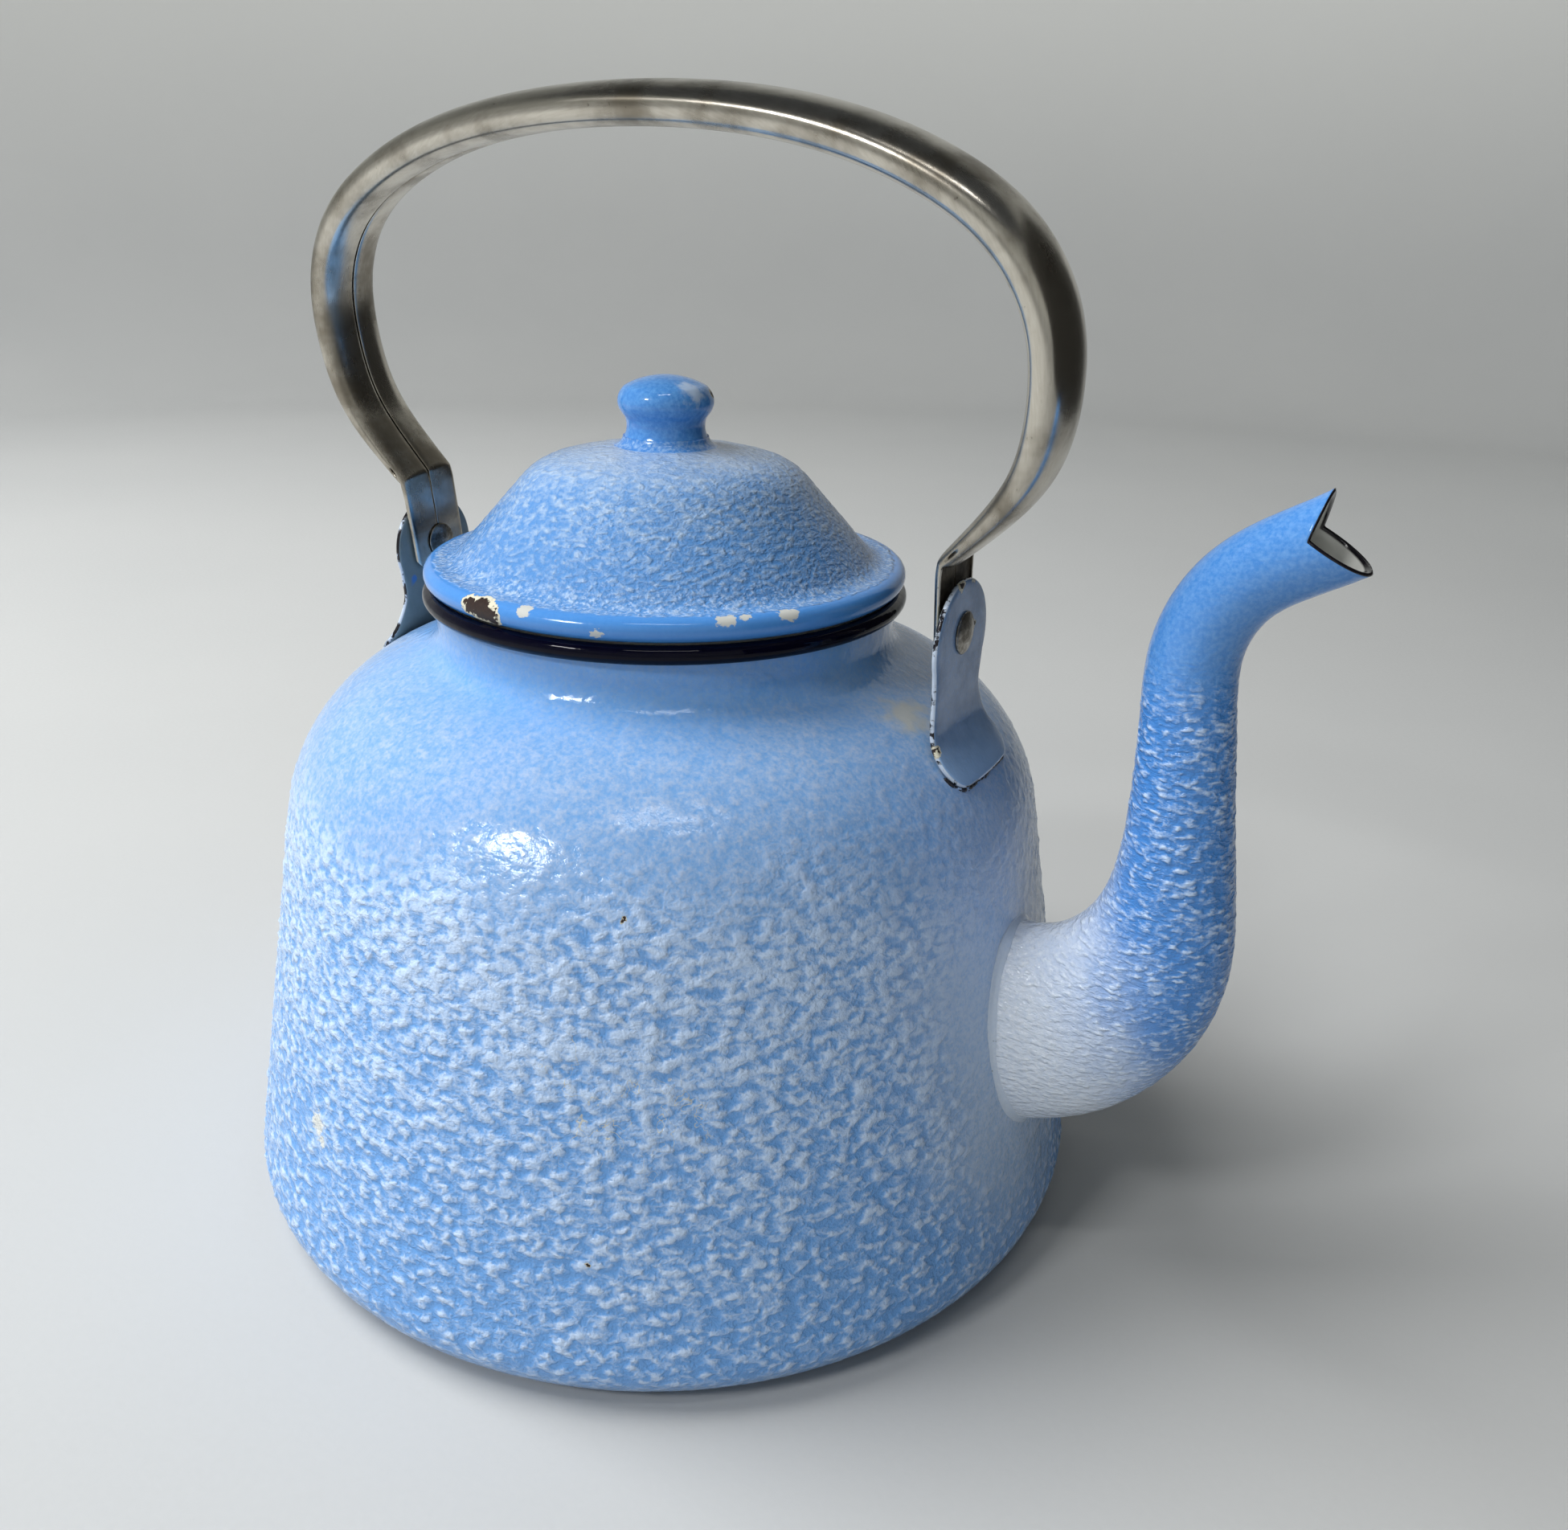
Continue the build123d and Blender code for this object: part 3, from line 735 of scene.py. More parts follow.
def add_end_plate(points, faces, ring, angle, first, right_end):
    """The flat end below the bend: the inner face goes on downwards with its long edges turned out."""
    way = 1 if right_end else -1
    corner = PLATE_CORNER
    half = HANDLE_WIDE / 2
    halves = [np.flatnonzero(angle <= 12), np.flatnonzero(angle >= 168)[::-1]]
    drops = np.concatenate([[0.6, 1.4, 2.4, PLATE_EASE], np.linspace(5.2, PLATE_HIGH, 12)])
    for members in halves:
        side = 1 if ring[members[len(members) // 2], 1] > 0 else -1
        start = ring[members]
        run = np.concatenate([[0], np.cumsum(np.linalg.norm(np.diff(start, axis=0), axis=1))])
        share = run / run[-1]
        previous = [first + int(k) for k in members]
        for drop in drops:
            depth = FLANGE_BOTTOM + (FLANGE_TOP - FLANGE_BOTTOM) * exp(-drop / FLANGE_FADE)
            length = (half - corner) + corner * pi / 2 + (depth - corner)
            s = SEAM_HALF + share * (length - SEAM_HALF)
            bend = np.clip((s - (half - corner)) / (corner * pi / 2), 0, 1) * pi / 2
            flat = np.minimum(s, half - corner)
            rise = np.maximum(s - (half - corner) - corner * pi / 2, 0)
            across = flat + corner * np.sin(bend)
            out = corner * (1 - np.cos(bend)) + rise
            blend = min(drop / PLATE_EASE, 1) ** 0.7
            lift = np.clip(across - (half - 3), 0, None) ** 2 * 0.25 * (drop / drops[-1]) ** 6
            target_z = PLATE_TOP_Z - drop + lift
            target = np.stack([way * (WEB_X + out), side * across, target_z], axis=1)
            moved = start + (0, 0, -drop)
            level = target * blend + moved * (1 - blend)
            level[:, 2] = np.minimum(target[:, 2], level[:, 2])
            fresh = list(range(len(points), len(points) + len(level)))
            points.extend(tuple(p) for p in level)
            for a in range(len(members) - 1):
                quad = [previous[a], previous[a + 1], fresh[a + 1], fresh[a]]
                faces.append(quad if (side > 0) == right_end else quad[::-1])
            previous = fresh


def make_knob_fillet():
    crown = (0, LID_CROWN_Z - LID_CROWN_R)

    def crown_z(r):
        return crown[1] + sqrt(LID_CROWN_R**2 - r**2)

    start = (KNOB_FOOT_R + 2.6, crown_z(KNOB_FOOT_R + 2.6) - 0.15)
    middle = (KNOB_FOOT_R + 0.75, crown_z(KNOB_FOOT_R) + 0.45)
    end = (KNOB_FOOT_R - 0.1, crown_z(KNOB_FOOT_R) + 1.9)
    hidden = (KNOB_FOOT_R - 0.5, crown_z(KNOB_FOOT_R) - 0.4)
    return lathe("knob_foot_fillet", joined(bowed(start, middle, end), [hidden]), 160, closed=True)


CAMERA_AT = (172.7, -249.2, 227.6)
CAMERA_TURN, CAMERA_PITCH, CAMERA_ROLL = 30.89, 23.34, 1.17
CAMERA_LENS = 30.01
CAMERA_SHIFT = (0.0226, 0.0121)


def make_camera():
    """Camera where the photographer stood, in front of the handle and a little to the spout's side."""
    turn, pitch, roll = radians(CAMERA_TURN), radians(CAMERA_PITCH), radians(CAMERA_ROLL)
    right = Vector((cos(turn), sin(turn), 0))
    forward = Vector((-sin(turn) * cos(pitch), cos(turn) * cos(pitch), -sin(pitch)))
    up = right.cross(forward)
    axis_x = right * cos(roll) + up * sin(roll)
    axis_y = up * cos(roll) - right * sin(roll)
    camera = bpy.data.objects.new("camera", bpy.data.cameras.new("camera"))
    bpy.context.scene.collection.objects.link(camera)
    rows = Matrix((axis_x, axis_y, -forward)).transposed().to_4x4()
    camera.matrix_world = Matrix.Translation(Vector(CAMERA_AT) * MM) @ rows
    camera.data.sensor_width = 36.0
    camera.data.lens = CAMERA_LENS
    camera.data.shift_x, camera.data.shift_y = CAMERA_SHIFT
    camera.data.clip_start = 0.01
    bpy.context.scene.camera = camera


# ---- node trees
def tint(red, green, blue):
    """A colour given as 8-bit screen values, as the linear values that nodes take."""
    shares = [v / 255 for v in (red, green, blue)]
    return (*[s / 12.92 if s <= 0.04045 else ((s + 0.055) / 1.055) ** 2.4 for s in shares], 1.0)


class Field:
    """A node's output, which takes +, - and * with numbers and with other outputs."""

    def __init__(self, graph, socket):
        self.graph = graph
        self.socket = socket

    def __add__(self, other):
        return self.graph.math("ADD", self, other)

    def __sub__(self, other):
        return self.graph.math("SUBTRACT", self, other)

    def __rsub__(self, other):
        return self.graph.math("SUBTRACT", other, self)

    def __mul__(self, other):
        return self.graph.math("MULTIPLY", self, other)


class Graph:
    """Adds nodes to a shader or geometry tree; each method returns the new node's output."""

    def __init__(self, tree):
        self.tree = tree

    def node(self, kind, **settings):
        made = self.tree.nodes.new(kind)
        for name, value in settings.items():
            setattr(made, name, value)
        return made

    def feed(self, socket, value):
        value = getattr(value, "socket", value)
        if isinstance(value, bpy.types.NodeSocket):
            self.tree.links.new(value, socket)
        else:
            socket.default_value = value

    def filled(self, made, values, output=0):
        for key, value in values.items():
            self.feed(made.inputs[key], value)
        return Field(self, made.outputs[output])

    def math(self, operation, a, b=0.0):
        return self.filled(self.node("ShaderNodeMath", operation=operation), {0: a, 1: b})

    def vector(self, operation, a, b):
        return self.filled(self.node("ShaderNodeVectorMath", operation=operation), {0: a, 1: b})

    def scaled(self, vector, factor):
        made = self.node("ShaderNodeVectorMath", operation="SCALE")
        return self.filled(made, {0: vector, "Scale": factor})

    def gap(self, a, b):
        """Distance between two places."""
        made = self.node("ShaderNodeVectorMath", operation="DISTANCE")
        return self.filled(made, {0: a, 1: b}, "Value")

    def parts(self, vector):
        made = self.node("ShaderNodeSeparateXYZ")
        self.feed(made.inputs[0], vector)
        return [Field(self, part) for part in made.outputs]

    def place(self):
        """Place on the piece in millimetres."""
        if self.tree.type == "GEOMETRY":
            source = self.node("GeometryNodeInputPosition").outputs[0]
        else:
            source = self.node("ShaderNodeTexCoord").outputs["Object"]
        return self.scaled(source, 1 / MM)

    def marked(self, name):
        """A number stored on the mesh by mark()."""
        if self.tree.type == "GEOMETRY":
            made = self.node("GeometryNodeInputNamedAttribute", data_type="FLOAT")
            made.inputs["Name"].default_value = name
            return Field(self, made.outputs[0])
        return Field(self, self.node("ShaderNodeAttribute", attribute_name=name).outputs["Fac"])

    def noise(self, place, scale, detail=2.0, rough=0.5, signed=False, colour=False):
        made = self.node("ShaderNodeTexNoise", normalize=not signed)
        values = {"Vector": place, "Scale": scale, "Detail": detail, "Roughness": rough}
        return self.filled(made, values, 1 if colour else 0)

    def smooth(self, value, low, high, start=0.0, end=1.0):
        """A soft step from start at low to end at high."""
        made = self.node("ShaderNodeMapRange", interpolation_type="SMOOTHSTEP")
        return self.filled(made, {0: value, 1: low, 2: high, 3: start, 4: end})

    def blend(self, a, b, share):
        """A number between a and b."""
        return self.filled(self.node("ShaderNodeMix", data_type="FLOAT"), {0: share, 2: a, 3: b})

    def mix(self, a, b, share):
        """A colour between a and b."""
        return self.filled(self.node("ShaderNodeMix", data_type="RGBA"), {0: share, 6: a, 7: b}, 2)

    def shifted(self, place, scale, amount, detail=2.0):
        """The place, pushed about by a noise so that what is drawn there has ragged edges."""
        drift = self.noise(place, scale, detail, 0.6, colour=True)
        push = self.vector("SUBTRACT", drift, (0.5, 0.5, 0.5))
        return self.vector("ADD", place, self.scaled(push, amount))


def material(name, recipe):
    """A material from a recipe, which returns the values of the shader's sockets and a relief in mm."""
    made = bpy.data.materials.new(name)
    made.use_nodes = True
    shader = made.node_tree.nodes["Principled BSDF"]
    g = Graph(made.node_tree)
    values = recipe(g)
    relief = values.pop("relief", None)
    for socket, value in values.items():
        g.feed(shader.inputs[socket], value)
    if relief is not None:
        bump = g.node("ShaderNodeBump")
        g.filled(bump, {"Height": relief, "Distance": MM, "Strength": 1.0})
        g.feed(shader.inputs["Normal"], bump.outputs[0])
    return made


def raised(piece, recipe):
    """Moves a piece's skin along its normal by a recipe's relief in mm."""
    tree = bpy.data.node_groups.new(piece.name + "_relief", "GeometryNodeTree")
    for way in ("INPUT", "OUTPUT"):
        tree.interface.new_socket("Geometry", in_out=way, socket_type="NodeSocketGeometry")
    g = Graph(tree)
    source = g.node("NodeGroupInput")
    target = g.node("NodeGroupOutput")
    move = g.node("GeometryNodeSetPosition")
    normal = g.node("GeometryNodeInputNormal").outputs[0]
    g.feed(move.inputs["Geometry"], source.outputs[0])
    g.feed(move.inputs["Offset"], g.scaled(normal, recipe(g) * MM))
    g.feed(target.inputs[0], move.outputs[0])
    modifier = piece.modifiers.new("relief", "NODES")
    modifier.node_group = tree
    applied(piece)


# ---- enamel
PALE = tint(196, 219, 250)
MILKY = tint(168, 190, 222)
LID_BLUE = tint(88, 142, 204)
LID_PALE = tint(166, 190, 218)
SKY = tint(112, 163, 220)
DEEP = tint(70, 134, 208)
MID_BLUE = tint(104, 162, 228)
WHITE_ENAMEL = tint(226, 227, 222)
GROUND_COAT = tint(20, 17, 24)
CREAM_COAT = tint(216, 211, 190)
RUST = tint(62, 44, 34)
NAVY = tint(2, 2, 13)


def mottles(g, place, size=0.78, stretch=1.45):
    """The crawled glaze: 0 in its creases, 1 on its domes, flatter than they are wide."""
    flat = g.vector("MULTIPLY", place, (1.0, 1.0, stretch))
    bent = g.shifted(flat, 0.16 / size, 3.6 * size)
    cells = g.node("ShaderNodeTexVoronoi", feature="SMOOTH_F1")
    reach = g.filled(cells, {"Vector": bent, "Scale": 0.25 / size, "Smoothness": 0.35})
    domes = g.smooth(reach, 0.05, 0.62, 1.0, 0.0)
    lumps = g.noise(bent, 0.30 / size, 2.0, 0.55)
    swell = g.smooth(lumps, 0.30, 0.70)
    return domes * 0.5 + swell * 0.5


def speckle(g, place, scale=1.1):
    return g.noise(place, scale, 3.0, 0.65)


def glaze(g, fine, low, high):
    """Gloss of an enamel skin, whose roughness goes from low to high with its speckle."""
    return {"Roughness": g.smooth(fine, 0.3, 0.8, low, high), "IOR": 1.52}


def outside(g):
    """1 on the outer face of a sheet, 0 on the inner one."""
    return 1.0 - g.marked("inside")


def spots(g, place, centres):
    """Nearness to the nearest of some spots, each (x, y, z, radius): 1 at a centre, 0 at its edge."""
    total = 0.0
    for x, y, z, radius in centres:
        share = 1.0 - g.gap(place, (x, y, z)) * (1 / radius)
        total = g.math("MAXIMUM", total, share)
    return total


def chipped(g, values, place, centres, ragged=1.6):
    """Enamel knocked off at some spots: a cream edge and, in the deeper ones, the dark steel below."""
    near = spots(g, g.shifted(place, 0.55, ragged * 2.2, 6.0), centres)
    edge = g.smooth(near, 0.02, 0.10)
    deep = near + (g.noise(place, 0.9, 4.0, 0.6) - 0.5) * 0.9
    core = g.smooth(deep, 0.30, 0.38)
    values["Base Color"] = g.mix(values["Base Color"], CREAM_COAT, edge)
    dark = g.mix(GROUND_COAT, RUST, speckle(g, place, 1.6))
    values["Base Color"] = g.mix(values["Base Color"], dark, core)
    values["Roughness"] = g.blend(values["Roughness"], 0.6, edge)
    relief = values["relief"] - edge * 0.12
    values["relief"] = relief - core * 0.15
    return values


def polar(radius, angle, z):
    return (radius * cos(radians(angle)), radius * sin(radians(angle)), z)


SHOULDER_FADE = (90.0, 123.0)     # heights between which the mottles die away
BELLY_START = (3.0, 12.0)
SPOUT_FOOT_Z = 66.0
RELIEF_HIGH = 0.85
RELIEF_FINE = 0.48


def spout_side(g, place, drift):
    """1 close round the foot of the spout, fading with a ragged edge to 0."""
    x, y, z = g.parts(place)
    lift = (z - SPOUT_FOOT_Z) * 0.62
    away = g.math("SQRT", y * y + lift * lift)
    return g.smooth(x, 30.0, 60.0) * g.smooth(away + drift * 44.0, 12.0, 52.0, 1.0, 0.0)


def body_crawl(g, place):
    """How strongly the glaze has crawled: full on the belly, faint on the shoulder and by the spout."""
    z = g.parts(place)[2]
    drift = g.noise(place, 0.035, 3.0) - 0.5
    height = z + drift * 34.0
    upper = g.smooth(height, *SHOULDER_FADE, 1.0, 0.13)
    lower = g.smooth(z, *BELLY_START)
    return upper * lower * g.blend(1.0, 0.25, spout_side(g, place, drift))


def body_relief(g):
    place = g.place()
    rise = mottles(g, place) - 0.45
    return rise * body_crawl(g, place) * RELIEF_HIGH * outside(g)


BODY_CHIPS = [
    (*polar(88.8, -60.8, 107.1), 0.8),
    (*polar(102.4, -64.7, 36.3), 0.6),
    (85.4, -17.6, 74.0, 1.9),
    (87.4, -18.2, 60.0, 1.6),
    (88.6, -16.0, 47.0, 2.4),
    (*polar(105.0, 122.0, 14.0), 3.0),
    (*polar(104.5, 152.0, 9.0), 2.4),
]
CRACK_CENTRES = [(39.4, -87.9, 68.3, 19.0), (52.0, -81.0, 66.0, 15.0), (34.3, -88.4, 76.8, 13.0)]
BODY_RUBS = [
    (*polar(101.2, -105.3, 44.0), 3.6),
    (*polar(101.6, -104.0, 40.5), 1.8),
    (*polar(95.0, 60.0, 78.0), 3.0),
]
CREAM_SPOT = (66.6, -6.4, 131.5)


def body_enamel(g):
    place = g.place()
    z = g.parts(place)[2]
    crawl = body_crawl(g, place)
    domes = mottles(g, place)
    fine = speckle(g, place)
    cloud = g.noise(place, 0.03, 3.0)
    shade = domes + (fine - 0.5) * 0.55
    lean = g.smooth(z, 20.0, 105.0, 0.11, -0.12) * g.smooth(cloud, 0.3, 0.7, 0.6, 1.6)
    belly = g.mix(MID_BLUE, PALE, g.smooth(shade, lean + 0.02, lean + 0.74))
    misty = fine * 0.9 + domes * 0.25
    shoulder = g.mix(SKY, MILKY, g.smooth(misty, 0.28, 0.86))
    colour = g.mix(shoulder, belly, g.smooth(crawl, 0.12, 0.9))
    neck = g.mix(MID_BLUE, SKY, g.smooth(fine, 0.35, 0.7))
    rise = z + (cloud - 0.5) * 14.0
    colour = g.mix(colour, neck, g.smooth(rise, 127.0, 140.0, 0.0, 0.8))
    # paler overspray round the spout
    mist = spout_side(g, place, cloud - 0.5)
    colour = g.mix(colour, tint(190, 208, 232), mist * g.smooth(fine, 0.2, 0.8, 0.45, 0.85))
    grey = g.smooth(g.gap(g.shifted(place, 0.12, 16.0), CREAM_SPOT), 3.0, 9.0, 0.85, 0.0)
    colour = g.mix(colour, tint(190, 190, 182), grey)
    # hairline cracks filled with limescale
    web = g.math("ABSOLUTE", g.noise(g.shifted(place, 0.2, 6.0), 0.07, 3.0, 0.6, signed=True))
    torn = g.smooth(web, 0.004, 0.016, 1.0, 0.0) * g.smooth(spots(g, place, CRACK_CENTRES), 0.0, 0.5)
    colour = g.mix(colour, CREAM_COAT, torn * 0.75)
    rub = g.smooth(spots(g, g.shifted(place, 0.6, 5.0, 6.0), BODY_RUBS), 0.10, 0.45)
    colour = g.mix(colour, tint(226, 226, 214), rub * 0.85)
    # the ground underside: dark specks and a worn ring
    scuff = g.smooth(z, 0.4, 2.2, 1.0, 0.0) * g.smooth(g.noise(place, 0.35, 5.0, 0.7), 0.50, 0.62)
    colour = g.mix(colour, tint(60, 62, 74), scuff * 0.8)
    relief = (domes + fine * 0.7) * crawl * RELIEF_FINE
    relief = relief + g.noise(place, 0.5, 2.0) * 0.035
    outer = {
        "Base Color": colour,
        **glaze(g, fine, 0.10, 0.22),
        "relief": relief,
    }
    outer = chipped(g, outer, place, BODY_CHIPS)
    inside = g.marked("inside")
    scale_mark = g.smooth(z, 20.0, 60.0, 0.5, 0.1) * g.noise(place, 0.06, 4.0, 0.6)
    lining = g.mix(WHITE_ENAMEL, tint(172, 160, 138), scale_mark)
    outer["Base Color"] = g.mix(outer["Base Color"], lining, inside)
    return outer


LID_CHIPS = [
    (*polar(55.6, -98.4, 153.5), 3.7),
    (*polar(56.0, -102.0, 153.9), 3.0),
    (*polar(55.4, -95.4, 152.6), 2.8),
]
LID_RUBS = [
    (*polar(54.9, -86.9, 155.2), 2.6),
    (*polar(55.0, -42.9, 155.0), 2.6),
    (*polar(54.6, -38.6, 155.2), 1.6),
    (*polar(55.0, -28.8, 155.1), 2.9),
    (*polar(55.6, -70.0, 152.2), 1.5),
    (*polar(55.2, 64.0, 154.6), 2.8),
    (*polar(55.4, 171.0, 154.0), 3.2),
]
RUB_STRETCH = 1.6     # the rubbed spots are this much longer than they are high
LID_BAND_R = 52.6


def lid_band(g, place):
    """1 on the smooth rolled rim of the lid, 0 further in."""
    x, y, _ = g.parts(place)
    radius = g.math("SQRT", x * x + y * y)
    ragged = radius + (g.noise(place, 0.25, 3.0) - 0.5) * 2.2
    return g.smooth(ragged, LID_BAND_R, LID_BAND_R + 1.1), radius


def lid_relief(g):
    place = g.place()
    band, radius = lid_band(g, place)
    rise = mottles(g, place, 0.66, 1.9) - 0.45
    open_skin = (1.0 - band) * g.smooth(radius, 12.0, 24.0, 0.25, 1.0)
    return rise * open_skin * 0.28 * outside(g)


def lid_enamel(g):
    place = g.place()
    band, radius = lid_band(g, place)
    z = g.parts(place)[2]
    domes = mottles(g, place, 0.66, 1.9)
    fine = speckle(g, place)
    cloud = g.noise(place, 0.05, 3.0)
    shade = domes * 0.8 + (fine - 0.5)
    floor_tone = g.smooth(z, 158.0, 176.0, 0.16, -0.06)
    skin = g.mix(LID_BLUE, LID_PALE, g.smooth(shade, floor_tone - 0.1, floor_tone + 0.9))
    crown = g.smooth(radius, 14.0, 36.0, 0.7, 0.0) * g.smooth(cloud, 0.3, 0.6, 0.5, 1.0)
    skin = g.mix(skin, tint(178, 196, 220), crown)
    flange = g.smooth(radius, 44.0, 49.0) * g.smooth(fine, 0.45, 0.75) * 0.75
    skin = g.mix(skin, PALE, flange)
    ring = g.mix(DEEP, tint(84, 148, 218), fine)
    outer = {
        "Base Color": g.mix(skin, ring, band),
        **glaze(g, fine, 0.09, 0.2),
        "relief": (domes + fine * 0.5) * g.smooth(band, 0.0, 1.0, 0.40, 0.01),
    }
    # rubbed through to the cream coat, but not to the steel
    flat = g.vector("MULTIPLY", place, (1.0, 1.0, RUB_STRETCH))
    centres = [(cx, cy, cz * RUB_STRETCH, radius) for cx, cy, cz, radius in LID_RUBS]
    rub = g.smooth(spots(g, g.shifted(flat, 0.7, 4.6, 6.0), centres), 0.10, 0.30)
    outer["Base Color"] = g.mix(outer["Base Color"], CREAM_COAT, rub * 0.8)
    outer = chipped(g, outer, place, LID_CHIPS)
    outer["Base Color"] = g.mix(outer["Base Color"], WHITE_ENAMEL, g.marked("inside"))
    return outer


def spout_zones(g, place):
    """Share of pale glaze and strength of the crawl, from the foot of the spout to its mouth."""
    x, _, z = g.parts(place)
    drift = g.noise(place, 0.07, 3.0) - 0.5
    foot = 112.0 - x + (72.0 - z) * 0.35
    pale = g.smooth(foot + drift * 22.0, -25.0, 9.0)
    top = g.smooth(z + drift * 16.0, 132.0, 158.0, 1.0, 0.1)
    return pale, top


def spout_relief(g):
    place = g.place()
    pale, top = spout_zones(g, place)
    rise = mottles(g, place, 0.68, 2.2) - 0.45
    calm = 1.0 - g.marked("edge")
    return rise * top * g.blend(1.0, 0.3, pale) * 0.34 * outside(g) * calm


def spout_enamel(g):
    place = g.place()
    pale, top = spout_zones(g, place)
    domes = mottles(g, place, 0.68, 2.2)
    fine = speckle(g, place)
    shade = domes * 0.8 + (fine - 0.5) * 0.8
    tube = g.mix(DEEP, PALE, g.smooth(shade, 0.16, 0.86))
    smooth_top = g.mix(DEEP, SKY, g.smooth(fine, 0.3, 0.75, 0.0, 0.7))
    colour = g.mix(smooth_top, tube, g.smooth(top, 0.15, 0.8))
    foot = g.mix(tint(206, 220, 238), tint(243, 246, 249), fine)
    colour = g.mix(colour, foot, pale * 0.9)
    edge = g.smooth(g.marked("edge"), 0.72, 0.9)
    colour = g.mix(colour, WHITE_ENAMEL, g.marked("inside"))
    colour = g.mix(colour, GROUND_COAT, edge)
    calm = outside(g)
    values = {
        "Base Color": colour,
        **glaze(g, fine, 0.09, 0.2),
        "relief": (domes + fine * 0.5) * top * 0.40 * calm,
    }
    return chipped(g, values, place, [(152.5, 4.5, 172.4, 1.7), (122.0, -10.3, 83.0, 1.0)])


def knob_enamel(g):
    place = g.place()
    fine = speckle(g, place)
    colour = g.mix(DEEP, tint(98, 160, 224), g.smooth(fine, 0.3, 0.75))
    worn = g.smooth(spots(g, g.shifted(place, 0.5, 6.0, 5.0), [(8.6, -2.4, 193.0, 4.2)]), 0.0, 0.7)
    colour = g.mix(colour, tint(196, 214, 236), worn * 0.8)
    values = {
        "Base Color": colour,
        **glaze(g, fine, 0.07, 0.16),
        "relief": g.noise(place, 0.4, 2.0) * 0.10,
    }
    return chipped(g, values, place, [(-3.0, 9.8, 194.2, 2.0), (9.6, 4.2, 192.0, 1.2)])


def ear_enamel(side):
    """side is 1 for the ear on +X and -1 for the other, whose inner face is the one that shows."""
    def recipe(g):
        place = g.place()
        z = g.parts(place)[2]
        fine = speckle(g, place)
        cloud = g.noise(place, 0.12, 4.0, 0.6)
        colour = g.mix(tint(98, 128, 164), tint(140, 164, 196), g.smooth(cloud, 0.3, 0.7))
        colour = g.mix(colour, SKY, g.smooth(fine, 0.5, 0.8, 0.0, 0.6))
        low = g.smooth(z, LUG_FOOT_Z + 2, LUG_FOOT_Z + 14, 0.75, 0.0)
        colour = g.mix(colour, tint(150, 184, 224), low)
        back = g.mix(tint(112, 122, 118), tint(150, 160, 158), cloud)
        patch = g.smooth(g.noise(place, 0.16, 1.0), 0.66, 0.70)
        back = g.mix(back, DEEP, patch * 0.8)
        colour = g.mix(colour, back, g.marked("inside"))
        rim = g.smooth(g.marked("edge"), 0.55, 0.85)
        gone = g.smooth(g.noise(place, 0.22, 4.0, 0.65), 0.50, 0.56)
        # the pale line painted along the rounded rim is a painted highlight; the dark ground coat where
        # the enamel is gone is real wear
        colour = g.mix(colour, tint(206, 218, 234), rim * 0.8)
        colour = g.mix(colour, GROUND_COAT, rim * gone)
        values = {
            "Base Color": colour,
            **glaze(g, fine, 0.12, 0.26),
            "relief": (cloud + fine * 0.4) * 0.12,
        }
        centres = [
            (side * 76.0, side * -3.0, 160.2, 1.8),
            (side * 76.0, side * 3.6, 160.0, 1.3),
            (side * 76.0, side * -12.3, 126.5, 1.6),
            (side * 76.0, side * -12.9, 121.5, 1.6),
            (side * 76.2, side * 5.4, 150.2, 1.3),
        ]
        return chipped(g, values, place, centres, 1.2)

    return recipe


def dark_enamel(g):
    """The black-blue glaze of the neck's rolled rim."""
    place = g.place()
    fine = speckle(g, place, 0.8)
    rubbed = g.smooth(g.noise(place, 0.3, 5.0, 0.7), 0.66, 0.74)
    colour = g.mix(NAVY, tint(5, 5, 27), fine)
    return {
        "Base Color": g.mix(colour, tint(60, 58, 70), rubbed * 0.35),
        **glaze(g, fine, 0.05, 0.14),
        "Specular IOR Level": 0.14,
        "relief": g.noise(place, 0.3, 2.0) * 0.09,
    }


def filler_enamel(g):
    """Pale glaze over the filler at the foot of the spout, with dark gaps."""
    place = g.place()
    fine = speckle(g, place)
    gaps = g.smooth(g.noise(place, 0.30, 3.0, 0.6), 0.66, 0.70)
    colour = g.mix(tint(184, 204, 230), tint(214, 224, 238), fine)
    return {
        "Base Color": g.mix(colour, GROUND_COAT, gaps),
        **glaze(g, fine, 0.12, 0.24),
        "relief": g.noise(place, 0.4, 3.0) * 0.2,
    }


def ear_filler(g):
    """Dark broken line under the ear's foot."""
    place = g.place()
    bits = g.noise(place, 0.55, 3.0, 0.6)
    return {
        "Base Color": g.mix(GROUND_COAT, tint(150, 176, 210), g.smooth(bits, 0.52, 0.6)),
        "Roughness": g.smooth(bits, 0.3, 0.7, 0.3, 0.6),
        "relief": bits * 0.2,
    }


def knob_filler(g):
    place = g.place()
    fine = speckle(g, place)
    return {
        "Base Color": g.mix(DEEP, tint(150, 186, 228), g.smooth(fine, 0.35, 0.75)),
        **glaze(g, fine, 0.1, 0.2),
        "relief": g.noise(place, 0.4, 2.0) * 0.12,
    }


def lining_enamel(g):
    place = g.place()
    stain = g.noise(place, 0.09, 5.0, 0.65)
    return {
        "Base Color": g.mix(WHITE_ENAMEL, tint(176, 164, 142), g.smooth(stain, 0.45, 0.8, 0.0, 0.6)),
        "Roughness": g.smooth(stain, 0.3, 0.7, 0.12, 0.25),
        "IOR": 1.52,
        "relief": stain * 0.1,
    }


# ---- metal
HANDLE_TURN_Z = 190.0
HANDLE_ROUND = 80.0


